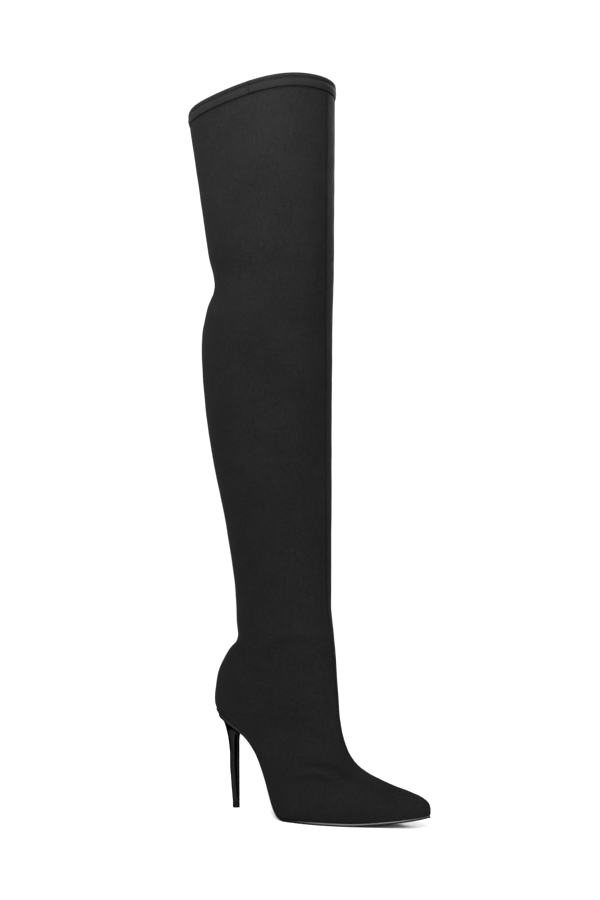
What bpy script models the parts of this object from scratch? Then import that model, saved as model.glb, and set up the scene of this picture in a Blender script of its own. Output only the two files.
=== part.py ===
"""A thigh-high stretch boot with a pointed toe and a stiletto heel, for the right foot.

Metres. +X runs to the toe, +Y to the inner side of the leg and +Z up. The boot stands on z = 0,
on its heel tip and its tread, and the origin is under the middle of its box.

The upper is one skin of cloth and lining, laid over sections of the last. Each section lies between
a point at the back or the bottom of the foot and a point at its front or ridge, so the sections
stand level in the leg, turn round the heel and stand upright in the forefoot. Every other piece
is worked out from that skin: the band at the collar, the zip let into the inner side,
the insole and the outsole that close it underneath, and the heel under its seat.
"""

from collections import namedtuple
from math import acos, atan2, cos, hypot, pi, radians, sin

import bmesh
import bpy
from mathutils import Matrix, Vector

MM = 0.001

# Driving dimensions
LENGTH = 254.0 * MM           # back of the heel to the tip of the toe
HEEL_HEIGHT = 103.5 * MM      # floor to the sole's underside at the back of the seat
BALL_WIDTH = 80 * MM          # across the upper at the ball
INSTEP_HEIGHT = 205 * MM      # floor to the front of the ankle, where the leg ends
BOOT_HEIGHT = 747.5 * MM      # floor to the highest point of the collar
WALL = 1.8 * MM               # stretch cloth bonded to its lining
GAP = 0.3 * MM                # between one piece and the next
MERGED = 1e-6                 # points nearer than this are one point

# The mesh of the skin
AROUND = 32                   # columns round a section
SEAM_COLUMN = 24              # the column that follows the zip's line, on the inner side
STEP = 1e-3                   # of turn or place, over which a direction is measured
ROW_CLEARANCE = 0.15          # a row nearer than this to an end of the zip's slot gives way to it

# The collar
SWAY_TOP = 0.93 * BOOT_HEIGHT     # above this height the leg's levels take the collar's full curve
SWAY_FOOT = 0.80 * BOOT_HEIGHT    # and below this height they are straight
SWAY_LATE = 1.5                   # how late on its way to the front the collar climbs
BAND_HEIGHT = 14 * MM             # the elastic band over the top edge
BAND_THICKNESS = 3.2 * MM
BAND_PROUD = 0.7 * MM             # of the leg
BAND_FACETS = 6                   # over its fold

# The sole
LASTING_GAP = 0.4 * MM        # between the sole and the upper's lasted edge
TOE_START = 190 * MM          # where the plan begins to draw in to its point
INSOLE_THICKNESS = 1.6 * MM
INSOLE_MARGIN = 0.9 * MM      # inside the upper's lasted edge
INSOLE_TAPER = 0.04           # and more towards the toe, where the upper's wall leans in

# The heel
HEEL_COLUMNS = 24
SEAT_START = 6.2 * MM         # the heel's top, from the back of the foot: its back, middle and breast
SEAT_MIDDLE = 24 * MM
SEAT_BREAST = 41 * MM
SEAT_HALF = 23.4 * MM
FLARE_FOOT = 42 * MM          # where the stem begins to widen into the seat
FLARE_SIZE = 1.5              # the stem there, against its foot
FLARE_LEVELS = 10
FLARE_EASE = 1.6              # how much closer the levels stand near the seat
FLARE_BACK = 2.0              # how quickly the flare draws in behind, and at the breast
FLARE_BREAST = 14.0
STEM_DEPTH = 7.8 * MM         # the stem at its foot, from back to breast
STEM_WIDTH = 7.6 * MM
STEM_BREAST = 26.2 * MM       # from the back of the foot to the breast of the stem
STEM_LEAN = 1.2 * MM          # the stem's middle at the flare's foot, behind its own foot
BREAST_DEPTH = 0.92           # from the stem's middle to its breast, against its foot's half depth
TIP_HEIGHT = 6 * MM

# The zip
ZIP_X = 79 * MM               # from the back of the foot to the zip's line, which is upright
ZIP_TOP = 328 * MM            # height of the closed zip's slider
ZIP_FOOT = 88 * MM
SLOT_WIDTH = 8.4 * MM
SLOT_SHARE = 0.6              # the most of a column that half the slot may take, where the skin narrows
CHAIN_WIDTH = 7.6 * MM
CHAIN_THICKNESS = 1.5 * MM
CHAIN_SUNK = 0.3 * MM         # the teeth's face below the cloth
CHAIN_STEPS = 16
PLATE = 1.2 * MM              # each of the slider's two plates
PLATE_BEVEL = 0.8 * MM
SLIDER_WIDTH = 7.4 * MM
SLIDER_HEIGHT = 10.5 * MM
SLIDER_NECK = 1.2 * MM        # the foot of the neck that joins the plates, above the slider's middle
BRIDGE_WIDTH = 1.6 * MM
BRIDGE_INNER = 1.1 * MM       # radii of the half ring that holds the pull
BRIDGE_OUTER = 2.1 * MM
BRIDGE_FACETS = 8
HINGE_OUT = PLATE + 1.0 * MM  # the pull's axis: from the cloth, and above the slider's middle
HINGE_UP = 1.2 * MM
PULL_LENGTH = 24 * MM
PULL_THICKNESS = 1.2 * MM
EYE_HALF = 1.4 * MM           # the eye in the pull that the bridge passes through
EYE_LENGTH = 2.3 * MM

Section = namedtuple(
    "Section", "name steps back_x back_z front_x front_z centre outer inner widest outer_edge inner_edge"
)

# The leg. x in shares of LENGTH, z of BOOT_HEIGHT, half widths of BALL_WIDTH.
LEG = [
    #        name        steps back x, z       front x, z     centre outer  inner  widest edges
    Section("collar",     1, -0.105, 0.9740,   0.537, 1.0000,   0,  0.800, 0.800, 0.50, 0, 0),
    Section("hem",        3, -0.101, 0.9553,   0.536, 0.9813,   0,  0.797, 0.797, 0.50, 0, 0),
    Section("thigh",      2, -0.052, 0.8620,   0.534, 0.8820,   0,  0.770, 0.770, 0.50, 0, 0),
    Section("above knee", 2, -0.006, 0.7750,   0.532, 0.7820,   0,  0.735, 0.735, 0.50, 0, 0),
    Section("knee",       2,  0.021, 0.7300,   0.531, 0.7300,   0,  0.700, 0.700, 0.50, 0, 0),
    Section("below knee", 2, -0.038, 0.6750,   0.529, 0.6700,   0,  0.700, 0.700, 0.50, 0, 0),
    Section("calf",       2, -0.044, 0.6150,   0.530, 0.6150,   0,  0.688, 0.688, 0.50, 0, 0),
    Section("low calf",   3, -0.012, 0.5210,   0.529, 0.5210,   0,  0.650, 0.650, 0.50, 0, 0),
    Section("shin",       3,  0.057, 0.4150,   0.531, 0.4150,   0,  0.575, 0.575, 0.50, 0, 0),
    Section("low shin",   2,  0.107, 0.3210,   0.534, 0.3280,   0,  0.500, 0.500, 0.50, 0, 0),
    Section("hollow",     1,  0.117, 0.2609,   0.537, 0.2916,   0,  0.464, 0.464, 0.50, 0, 0),
]

# The foot. x in shares of LENGTH, back z of HEEL_HEIGHT, front z of INSTEP_HEIGHT, widths of BALL_WIDTH.
# A back height of 0 stands on the sole.
FOOT = [
    #        name        steps back x, z       front x, z     centre outer  inner  widest edges
    Section("ankle",      2,  0.121, 1.7300,   0.541, 1.0000,   0,  0.456, 0.456, 0.50, 0, 0),
    Section("cuff",       2,  0.069, 1.6000,   0.558, 0.8700,   0,  0.444, 0.444, 0.48, 0, 0),
    Section("heel",       2,  0.017, 1.4000,   0.572, 0.7250,   0,  0.425, 0.425, 0.45, 0, 0),
    Section("cup",        2,  0.001, 1.2000,   0.583, 0.5950,   0,  0.412, 0.412, 0.42, 0.020, 0.020),
    Section("curl",       1,  0.005, 1.0800,   0.588, 0.5250,   0,  0.400, 0.400, 0.38, 0.060, 0.060),
    Section("seat",       1,  0.022, 0,        0.591, 0.5000,   0,  0.393, 0.393, 0.36, 0.110, 0.110),
    Section("seat turn",  1,  0.032, 0,        0.594, 0.4800,   0,  0.386, 0.386, 0.34, 0.175, 0.175),
    Section("seat side",  1,  0.062, 0,        0.597, 0.4600,   0,  0.380, 0.380, 0.31, 0.255, 0.255),
    Section("seat front", 2,  0.110, 0,        0.601, 0.4350,   0,  0.372, 0.372, 0.28, 0.305, 0.305),
    Section("breast",     2,  0.179, 0,        0.608, 0.4030,   0,  0.366, 0.366, 0.25, 0.305, 0.300),
    Section("waist",      2,  0.246, 0,        0.619, 0.3660,   0,  0.378, 0.372, 0.24, 0.318, 0.290),
    Section("arch",       4,  0.313, 0,        0.632, 0.3300,   0,  0.425, 0.398, 0.22, 0.368, 0.325),
    Section("joint",      5,  0.382, 0,        0.648, 0.3010,   0,  0.500, 0.440, 0.22, 0.450, 0.385),
    Section("ball",       2,  0.465, 0,        0.674, 0.2680,   0,  0.538, 0.480, 0.24, 0.490, 0.435),
    Section("tread",      2,  0.580, 0,        0.718, 0.2390, 0.000, 0.495, 0.475, 0.26, 0.458, 0.440),
    Section("vamp",       2,  0.690, 0,        0.774, 0.2160, 0.010, 0.392, 0.385, 0.30, 0.356, 0.355),
    Section("toe box",    2,  0.795, 0,        0.839, 0.1930, 0.025, 0.275, 0.275, 0.34, 0.245, 0.250),
    Section("toe",        2,  0.885, 0,        0.911, 0.1720, 0.038, 0.172, 0.170, 0.40, 0.150, 0.150),
    Section("nose",       1,  0.950, 0,        0.963, 0.1500, 0.046, 0.100, 0.098, 0.45, 0.087, 0.085),
    Section("nose end",   1,  0.985, 0,        0.991, 0.1260, 0.049, 0.054, 0.054, 0.50, 0.047, 0.047),
    Section("tip",        1,  1.000, 0.1700,   1.000, 0,      0.051, 0.000, 0.000, 0.50, 0, 0),
]

Station = namedtuple("Station", "name x z slope margin thickness")

# The sole's underside. x in shares of LENGTH, z of HEEL_HEIGHT; margin is how far the sole's edge
# stands beyond the upper's lasted edge. The seat slopes, the tread is flat and the toe springs.
UNDERSIDE = [
    #       name          x       z      slope   margin    thickness
    Station("seat",       0.020, 0.995, -0.540, 0.0 * MM, 1.9 * MM),
    Station("breast",     0.180, 0.783, -0.640, 0.2 * MM, 1.9 * MM),
    Station("waist",      0.250, 0.625, -1.200, 0.2 * MM, 1.9 * MM),
    Station("arch",       0.330, 0.285, -2.050, 0.4 * MM, 2.2 * MM),
    Station("fall",       0.390, 0.044, -0.950, 0.8 * MM, 2.6 * MM),
    Station("ball",       0.455, 0.000,  0.000, 1.2 * MM, 2.9 * MM),
    Station("tread end",  0.665, 0.000,  0.000, 1.2 * MM, 2.9 * MM),
    Station("toe",        0.880, 0.052,  0.160, 1.0 * MM, 2.6 * MM),
    Station("tip",        1.000, 0.118,  0.270, 0.3 * MM, 2.4 * MM),
]


def eased(start, end, leave, arrive, u):
    """The smooth curve from start to end that leaves and arrives at those rates."""
    return (
        (2 * u**3 - 3 * u**2 + 1) * start
        + (u**3 - 2 * u**2 + u) * leave
        + (3 * u**2 - 2 * u**3) * end
        + (u**3 - u**2) * arrive
    )


def underside(x):
    """The sole at x, measured from the back of the foot: height, margin and thickness."""
    last = len(UNDERSIDE) - 2
    i = next((k for k in range(last) if x < UNDERSIDE[k + 1].x * LENGTH), last)
    one, two = UNDERSIDE[i], UNDERSIDE[i + 1]
    run = (two.x - one.x) * LENGTH
    u = (x - one.x * LENGTH) / run
    height = eased(one.z * HEEL_HEIGHT, two.z * HEEL_HEIGHT, one.slope * run, two.slope * run, u)
    share = min(max(u, 0.0), 1.0)
    margin = one.margin + (two.margin - one.margin) * share
    return height, margin, one.thickness + (two.thickness - one.thickness) * share


def sole_normal(x):
    """The direction out of the sole's top, in the plane of the foot's middle."""
    d = 0.1 * MM
    return Vector((underside(x - d)[0] - underside(x + d)[0], 0, 2 * d)).normalized()


def lasted_height(x):
    """Height of the upper's lasted edge at x: the sole's thickness and a gap above the underside."""
    height, _, thickness = underside(x)
    return height + (thickness + LASTING_GAP) / sole_normal(x).z


def in_metres(row, front_scale, back_scale):
    """The section with its shares turned into metres."""
    back_x = row.back_x * LENGTH
    return row._replace(
        back_x=back_x,
        back_z=row.back_z * back_scale or lasted_height(back_x),
        front_x=row.front_x * LENGTH,
        front_z=row.front_z * front_scale,
        centre=row.centre * BALL_WIDTH,
        outer=row.outer * BALL_WIDTH,
        inner=row.inner * BALL_WIDTH,
        outer_edge=row.outer_edge * BALL_WIDTH,
        inner_edge=row.inner_edge * BALL_WIDTH,
    )


ROWS = [in_metres(row, BOOT_HEIGHT, BOOT_HEIGHT) for row in LEG]
ROWS += [in_metres(row, INSTEP_HEIGHT, HEEL_HEIGHT) for row in FOOT]
ROWS[-1] = ROWS[-1]._replace(front_z=ROWS[-1].back_z)     # the tip is one point
ROW_NAMES = [row.name for row in ROWS]
SEAT = ROW_NAMES.index("seat")


def section_at(place):
    """The section at a place along the last, where a whole number is a row of the tables."""
    i = min(int(place), len(ROWS) - 2)
    before, one, two, after = (ROWS[min(max(k, 0), len(ROWS) - 1)][2:] for k in (i - 1, i, i + 1, i + 2))
    values = [
        eased(q, r, (r - p) / 2, (s - q) / 2, place - i) for p, q, r, s in zip(before, one, two, after)
    ]
    section = Section("", 0, *values)
    section = section._replace(
        outer_edge=max(section.outer_edge, 0.0),
        inner_edge=max(section.inner_edge, 0.0),
    )
    if SEAT <= place < len(ROWS) - 1:
        return section._replace(back_z=lasted_height(section.back_x))
    return section


def places_between(first, last):
    """Places from one row to another, with each row's own number of steps after it."""
    start, end = ROW_NAMES.index(first), ROW_NAMES.index(last)
    places = [i + k / ROWS[i].steps for i in range(start, end) for k in range(ROWS[i].steps)]
    return places + [float(end)]


def swayed(along, height):
    """How far up from back to front a point lies. The collar's line runs level at the back
    and at the front and climbs between them, and lower down the levels straighten."""
    late = along ** SWAY_LATE
    curve = late * late * (3 - 2 * late)
    share = min(max((height - SWAY_FOOT) / (SWAY_TOP - SWAY_FOOT), 0.0), 1.0)
    return along + (curve - along) * share


def skin_point(section, turn):
    """A point on the outside of the upper. turn is 0 at the back or bottom, 0.25 on the outer side,
    0.5 at the front or ridge and 0.75 on the inner side."""
    outside = turn <= 0.5
    angle = 2 * pi * (turn if outside else 1 - turn)
    half, edge = (section.outer, section.outer_edge) if outside else (section.inner, section.inner_edge)
    if angle < pi / 2:
        across = edge + (half - edge) * sin(angle)
        along = section.widest * (1 - cos(angle))
    else:
        across = half * sin(angle)
        along = section.widest - (1 - section.widest) * cos(angle)
    return Vector((
        section.back_x + (section.front_x - section.back_x) * along,
        section.centre + (-across if outside else across),
        section.back_z + (section.front_z - section.back_z) * swayed(along, section.back_z),
    ))


def skin_normal(place, turn):
    """The outward direction of the skin there."""
    low, high = max(place - STEP, 0), min(place + STEP, len(ROWS) - 1)
    down = skin_point(section_at(high), turn) - skin_point(section_at(low), turn)
    section = section_at(place)
    round_it = skin_point(section, turn + STEP) - skin_point(section, turn - STEP)
    return down.cross(round_it).normalized()


def zip_turn(place):
    """The turn at which the inner side of a section crosses the zip's line."""
    section = section_at(place)
    along = (ZIP_X - section.back_x) / max(section.front_x - section.back_x, MM)
    along = max(along, section.widest / 2)
    if along > section.widest:
        angle = acos((section.widest - along) / (1 - section.widest))
    else:
        angle = acos(1 - along / section.widest)
    return 1 - angle / (2 * pi)


def zip_point(place):
    """The point of the zip's line on the skin there."""
    return skin_point(section_at(place), zip_turn(place))


def zip_place(height):
    """Where the zip's line stands that high, found by halving."""
    low, high = 0.0, float(ROW_NAMES.index("waist"))
    for _ in range(40):
        middle = (low + high) / 2
        if zip_point(middle).z > height:
            low = middle
        else:
            high = middle
    return low


def turn_for(place, distance):
    """How much turn covers that distance over the skin beside the zip's line."""
    section, seam = section_at(place), zip_turn(place)
    reach = (skin_point(section, seam + STEP) - skin_point(section, seam - STEP)).length / (2 * STEP)
    return distance / max(reach, MM)


def column_turns(place):
    """The turns of a section's columns, drawn aside so that one of them follows the zip's line."""
    seam = zip_turn(place)
    half = AROUND // 2
    outside = [j / AROUND for j in range(half)]
    front = [0.5 + (seam - 0.5) * j / (SEAM_COLUMN - half) for j in range(SEAM_COLUMN - half)]
    back = [seam + (1 - seam) * j / (AROUND - SEAM_COLUMN) for j in range(AROUND - SEAM_COLUMN + 1)]
    return outside + front + back


X_MIDDLE = (ROWS[0].back_x - BAND_PROUD + LENGTH + UNDERSIDE[-1].margin) / 2     # of the boot's box
TO_FRAME = Matrix.Translation((-X_MIDDLE, 0, 0))


def material(name, colour, roughness, metallic=0.0):
    """A plain finish of that colour."""
    made = bpy.data.materials.new(name)
    made.use_nodes = True
    shader = made.node_tree.nodes["Principled BSDF"]
    shader.inputs["Base Color"].default_value = (*colour, 1)
    shader.inputs["Roughness"].default_value = roughness
    shader.inputs["Metallic"].default_value = metallic
    return made


def piece(name, bm, finish, parent, origin=Vector()):
    """The bmesh as a named object, moved from the last's measures to the boot's frame.
    origin is where the object has its own origin, in the last's measures."""
    bmesh.ops.remove_doubles(bm, verts=bm.verts, dist=MERGED)
    bmesh.ops.transform(bm, matrix=Matrix.Translation(-origin), verts=bm.verts)
    mesh = bpy.data.meshes.new(name)
    bm.to_mesh(mesh)
    bm.free()
    mesh.shade_smooth()
    mesh.set_sharp_from_angle(angle=radians(40))
    mesh.materials.append(finish)
    made = bpy.data.objects.new(name, mesh)
    bpy.context.scene.collection.objects.link(made)
    made.parent = parent
    made.location = TO_FRAME @ origin
    return made


def rings(bm, loops, closed=False):
    """A skin over loops of as many points each. The ends are capped unless it closes on itself."""
    verts = [[bm.verts.new(point) for point in loop] for loop in loops]
    count = len(loops[0])
    for one, two in zip(verts, verts[1:] + (verts[:1] if closed else [])):
        for j in range(count):
            k = (j + 1) % count
            bm.faces.new((one[j], one[k], two[k], two[j]))
    if not closed:
        bm.faces.new(verts[0][::-1])
        bm.faces.new(verts[-1])
    bmesh.ops.remove_doubles(bm, verts=bm.verts, dist=MERGED)
    bmesh.ops.recalc_face_normals(bm, faces=bm.faces)
    return bm


def slot_places():
    """The places of the slot's top, just above the slider, and of its foot."""
    return zip_place(ZIP_TOP + SLIDER_HEIGHT / 2 + GAP), zip_place(ZIP_FOOT)


def upper_places():
    """The rows of the upper's mesh, with one at each end of the zip's slot."""
    ends = slot_places()
    rows = places_between("hem", "tip")
    others = [place for place in rows if min(abs(place - end) for end in ends) > ROW_CLEARANCE]
    return sorted([*others, *ends])


def upper(finish, parent):
    """Foot and leg in one skin, open at the collar and underneath, with the zip's slot in its inner side.
    The lining follows the cloth a wall's thickness inside it, as far as the solid nose."""
    top, foot = slot_places()
    places = upper_places()
    nose = float(ROW_NAMES.index("nose"))
    bm = bmesh.new()
    cloth, lining = [], []
    for place in places:
        turns = column_turns(place)
        slot = min(turn_for(place, SLOT_WIDTH / 2), SLOT_SHARE / AROUND)
        turns[SEAM_COLUMN:SEAM_COLUMN + 1] = [turns[SEAM_COLUMN] - slot, turns[SEAM_COLUMN] + slot]
        section = section_at(place)
        points = [skin_point(section, turn) for turn in turns]
        cloth.append([bm.verts.new(point) for point in points])
        if place <= nose:
            inside = [point - skin_normal(place, turn) * WALL for point, turn in zip(points, turns)]
            lining.append([bm.verts.new(point) for point in inside])
    columns = len(cloth[0]) - 1

    def is_slot(i, j):
        return j == SEAM_COLUMN and top <= places[i] < foot

    def is_closed_below(i):
        return places[i] < SEAT or places[i] >= nose

    for i in range(len(places) - 1):
        lined = i < len(lining) - 1
        for j in range(columns):
            if is_slot(i, j):
                continue
            bm.faces.new((cloth[i][j], cloth[i + 1][j], cloth[i + 1][j + 1], cloth[i][j + 1]))
            if lined:
                bm.faces.new((lining[i][j], lining[i][j + 1], lining[i + 1][j + 1], lining[i + 1][j]))
        if is_closed_below(i):
            bm.faces.new((cloth[i][0], cloth[i][-1], cloth[i + 1][-1], cloth[i + 1][0]))
            if lined:
                bm.faces.new((lining[i][0], lining[i + 1][0], lining[i + 1][-1], lining[i][-1]))
        elif lined:
            for side in (0, -1):
                bm.faces.new((cloth[i][side], cloth[i + 1][side], lining[i + 1][side], lining[i][side]))

    last = len(lining) - 1
    bm.faces.new(lining[last])
    bm.faces.new((cloth[last][0], cloth[last][-1], lining[last][-1], lining[last][0]))
    seat = places.index(float(SEAT))
    bm.faces.new((cloth[seat][0], cloth[seat][-1], lining[seat][-1], lining[seat][0]))
    for j in range(columns):
        bm.faces.new((cloth[0][j], cloth[0][j + 1], lining[0][j + 1], lining[0][j]))
    for i, place in enumerate(places):
        if top <= place < foot:
            for j in (SEAM_COLUMN, SEAM_COLUMN + 1):
                bm.faces.new((cloth[i][j], cloth[i + 1][j], lining[i + 1][j], lining[i][j]))
        if place in (top, foot):
            j = SEAM_COLUMN
            bm.faces.new((cloth[i][j], cloth[i][j + 1], lining[i][j + 1], lining[i][j]))
    bmesh.ops.remove_doubles(bm, verts=bm.verts, dist=MERGED)
    bmesh.ops.recalc_face_normals(bm, faces=bm.faces)
    return piece("upper", bm, finish, parent)


def collar_band(finish, parent):
    """The elastic band folded over the top edge, a little proud of the leg."""
    hem, collar = section_at(1.0), section_at(0.0)
    inner, outer = BAND_PROUD - BAND_THICKNESS, BAND_PROUD
    radius = BAND_THICKNESS / 2
    foot = 2 * GAP / BAND_HEIGHT
    loops = []
    for turn in column_turns(1.0)[:-1]:
        low, high = skin_point(hem, turn), skin_point(collar, turn)
        out = skin_normal(0.5, turn)
        up = (high - low).normalized()
        low, high = low.lerp(high, foot), high - up * radius
        arc = [pi * k / BAND_FACETS for k in range(BAND_FACETS + 1)]
        fold = [high + out * (inner + radius - radius * cos(a)) + up * radius * sin(a) for a in arc]
        loops.append([low + out * inner, *fold, low + out * outer])
    return piece("collar_band", rings(bmesh.new(), loops, closed=True), finish, parent)


def lasted_plan(last, margin):
    """The plan of the upper's lasted edge from the seat to a row and back, as points (x, y),
    moved outwards by margin(x). It goes forward by the outer side."""
    sections = [section_at(place) for place in places_between("seat", last)]
    outer = [(s.back_x, s.centre - s.outer_edge) for s in sections]
    inner = [(s.back_x, s.centre + s.inner_edge) for s in sections]
    if hypot(inner[-1][0] - outer[-1][0], inner[-1][1] - outer[-1][1]) < MERGED:
        inner.pop()
    loop = outer + inner[::-1]
    moved = []
    for i, (x, y) in enumerate(loop):
        ahead, behind = loop[(i + 1) % len(loop)], loop[i - 1]
        angle = atan2(ahead[1] - behind[1], ahead[0] - behind[0])
        moved.append((x + margin(x) * sin(angle), y - margin(x) * cos(angle)))
    return moved


def slab(plan, top, bottom):
    """A sheet over a plan that follows the sole, between two heights above its underside,
    each given as a function of x and measured square to the sole."""
    loops = []
    for i in range((len(plan) + 1) // 2):
        loop = []
        one, two = plan[i], plan[-1 - i]
        for (x, y), level in ((one, top), (two, top), (two, bottom), (one, bottom)):
            loop.append(Vector((x, y, underside(x)[0])) + sole_normal(x) * level(x))
        loops.append(loop)
    return rings(bmesh.new(), loops)


def outsole(finish, parent):
    """The thin sole from the back of the seat, down the arch and along the tread to the toe."""
    plan = lasted_plan("tip", lambda x: underside(x)[1])
    return piece("outsole", slab(plan, lambda x: underside(x)[2], lambda x: 0.0), finish, parent)


def insole(finish, parent):
    """The board that fills the opening between the lasted edges, just clear of the sole."""
    def inset(x):
        return -INSOLE_MARGIN - INSOLE_TAPER * max(0.0, x - TOE_START)

    def foot(x):
        return underside(x)[2] + GAP

    board = slab(lasted_plan("nose", inset), lambda x: foot(x) + INSOLE_THICKNESS, foot)
    return piece("insole", board, finish, parent)


def heel_seat(x):
    """Height of the heel's top at x: the underside of the sole, less a gap."""
    return underside(x)[0] - GAP / sole_normal(x).z


def stem_loop(size, height, lean):
    """The stem's D shape at a size and a height, round behind and a little flatter at its breast,
    which doesn't grow with the size. lean moves its middle back."""
    middle = STEM_BREAST - STEM_DEPTH / 2 - lean
    points = []
    for j in range(HEEL_COLUMNS):
        angle = 2 * pi * j / HEEL_COLUMNS
        depth = STEM_DEPTH / 2 * (size if cos(angle) > 0 else BREAST_DEPTH)
        half = STEM_WIDTH / 2 * size
        points.append(Vector((middle - depth * cos(angle), half * sin(angle), height)))
    return points


def heel(finish, parent):
    """A stiletto: its top follows the seat's outline and it draws in to a straight stem."""
    stem = stem_loop(FLARE_SIZE, FLARE_FOOT, STEM_LEAN)
    loops = []
    for level in range(FLARE_LEVELS + 1):
        down = (level / FLARE_LEVELS) ** FLARE_EASE
        loop = []
        for j, end in enumerate(stem):
            angle = 2 * pi * j / HEEL_COLUMNS
            reach = SEAT_MIDDLE - SEAT_START if cos(angle) > 0 else SEAT_BREAST - SEAT_MIDDLE
            x = SEAT_MIDDLE - reach * cos(angle)
            start = Vector((x, SEAT_HALF * sin(angle), heel_seat(x)))
            speed = FLARE_BACK + (FLARE_BREAST - FLARE_BACK) * (1 - cos(angle)) / 2
            point = start.lerp(end, 1 - (1 - down) ** speed)
            point.z = start.z + (FLARE_FOOT - start.z) * down
            loop.append(point)
        loops.append(loop)
    loops.append(stem_loop(1.0, TIP_HEIGHT + GAP, 0.0))
    return piece("heel", rings(bmesh.new(), loops), finish, parent)


def heel_tip(finish, parent):
    """The wearing piece under the stem, flat on the floor."""
    loops = [stem_loop(1.0, height, 0.0) for height in (TIP_HEIGHT, 0.0)]
    return piece("heel_tip", rings(bmesh.new(), loops), finish, parent)


def zip_chain(finish, parent):
    """The closed teeth and their tapes, from the slot's foot to inside the slider."""
    start = zip_place(ZIP_TOP)
    end = zip_place(ZIP_FOOT + 2 * GAP)
    loops = []
    for i in range(CHAIN_STEPS + 1):
        place = start + (end - start) * i / CHAIN_STEPS
        seam, half = zip_turn(place), turn_for(place, CHAIN_WIDTH / 2)
        face = [(turn, CHAIN_SUNK) for turn in (seam - half, seam, seam + half)]
        back = [(turn, CHAIN_SUNK + CHAIN_THICKNESS) for turn, _ in reversed(face)]
        section = section_at(place)
        loops.append([
            skin_point(section, turn) - skin_normal(place, turn) * depth for turn, depth in face + back
        ])
    return piece("zip_chain", rings(bmesh.new(), loops), finish, parent)


def slider_frame():
    """The slider's place: across the zip, along it and out of the leg."""
    place = zip_place(ZIP_TOP)
    out = skin_normal(place, zip_turn(place))
    across = out.cross(Vector((0, 0, 1))).normalized()
    along = across.cross(out)
    rotation = Matrix((across, along, out)).transposed().to_4x4()
    return Matrix.Translation(zip_point(place)) @ rotation


def extruded(profile, width, frame):
    """A profile of points (along, out), given width across the zip and set in the slider's frame."""
    sides = (-width / 2, width / 2)
    loops = [[frame @ Vector((side, along, out)) for along, out in profile] for side in sides]
    return rings(bmesh.new(), loops)


def zip_slider(finish, parent):
    """Two plates joined above the teeth that they close on, and the bridge that holds the pull."""
    frame = slider_frame()
    top, foot = SLIDER_HEIGHT / 2, -SLIDER_HEIGHT / 2
    shoulder = PLATE - PLATE_BEVEL / 2
    back = -(CHAIN_SUNK + CHAIN_THICKNESS + GAP)
    plates = [
        (foot, 0),
        (foot, shoulder),
        (foot + PLATE_BEVEL, PLATE),
        (top - PLATE_BEVEL, PLATE),
        (top, shoulder),
        (top, back - PLATE),
        (foot, back - PLATE),
        (foot, back),
        (SLIDER_NECK, back),
        (SLIDER_NECK, 0),
    ]
    made = piece("zip_slider", extruded(plates, SLIDER_WIDTH, frame), finish, parent)

    sunk = PLATE / 2
    outline = []
    for radius, turned in ((BRIDGE_OUTER, -1), (BRIDGE_INNER, 1)):
        arc = [pi * k / BRIDGE_FACETS for k in range(BRIDGE_FACETS + 1)]
        outline.append((HINGE_UP + turned * radius, sunk))
        outline += [(HINGE_UP + turned * radius * cos(a), HINGE_OUT + radius * sin(a)) for a in arc]
        outline.append((HINGE_UP - turned * radius, sunk))
    bridge = piece("slider_bridge", extruded(outline, BRIDGE_WIDTH, frame), finish, parent)
    bridge.hide_render = True
    bridge.display_type = "WIRE"
    join = made.modifiers.new("bridge", "BOOLEAN")
    join.operation = "UNION"
    join.solver = "EXACT"
    join.object = bridge
    return made


PullRow = namedtuple("PullRow", "down half")

# The pull's outline, from its bar down. down in shares of PULL_LENGTH.
PULL_ROWS = [
    PullRow(0.00, 2.6 * MM),
    PullRow(0.16, 2.6 * MM),
    PullRow(0.26, 1.9 * MM),
    PullRow(0.60, 2.2 * MM),
    PullRow(0.88, 2.7 * MM),
    PullRow(0.97, 2.1 * MM),
    PullRow(1.00, 1.0 * MM),
]


def zip_pull(finish, parent):
    """The metal tab that hangs from the slider's bridge by its top bar. Its origin is on the bar's axis."""
    frame = slider_frame()
    hinge = frame @ Vector((0, HINGE_UP, HINGE_OUT))
    across = (frame.to_3x3() @ Vector((1, 0, 0))).normalized()
    out = across.cross(Vector((0, 0, -1)))
    half = PULL_THICKNESS / 2
    top = half

    def loop(bm, sides, depth):
        """Points down one side of the tab and up the other, for pairs of (down, half width)."""
        spine = [(hinge + Vector((0, 0, -down)) + out * depth, width) for down, width in sides]
        points = [middle - across * width for middle, width in spine]
        points += [middle + across * width for middle, width in reversed(spine)]
        return [bm.verts.new(point) for point in points]

    outline = [(row.down * (PULL_LENGTH - top) - top, row.half) for row in PULL_ROWS]
    eye = [(top, EYE_HALF), (top + EYE_LENGTH, EYE_HALF)]
    bm = bmesh.new()
    back, front = [(loop(bm, outline, depth), loop(bm, eye, depth)) for depth in (-half, half)]
    for face in (back, front):
        edges = [bm.edges.new(pair) for ring in face for pair in zip(ring, ring[1:] + ring[:1])]
        bmesh.ops.triangle_fill(bm, use_beauty=True, edges=edges)
    for inner, outer in zip(back, front):
        for j in range(len(inner)):
            k = (j + 1) % len(inner)
            bm.faces.new((outer[j], outer[k], inner[k], inner[j]))
    bmesh.ops.recalc_face_normals(bm, faces=bm.faces)
    return piece("zip_pull", bm, finish, parent, hinge)


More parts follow.
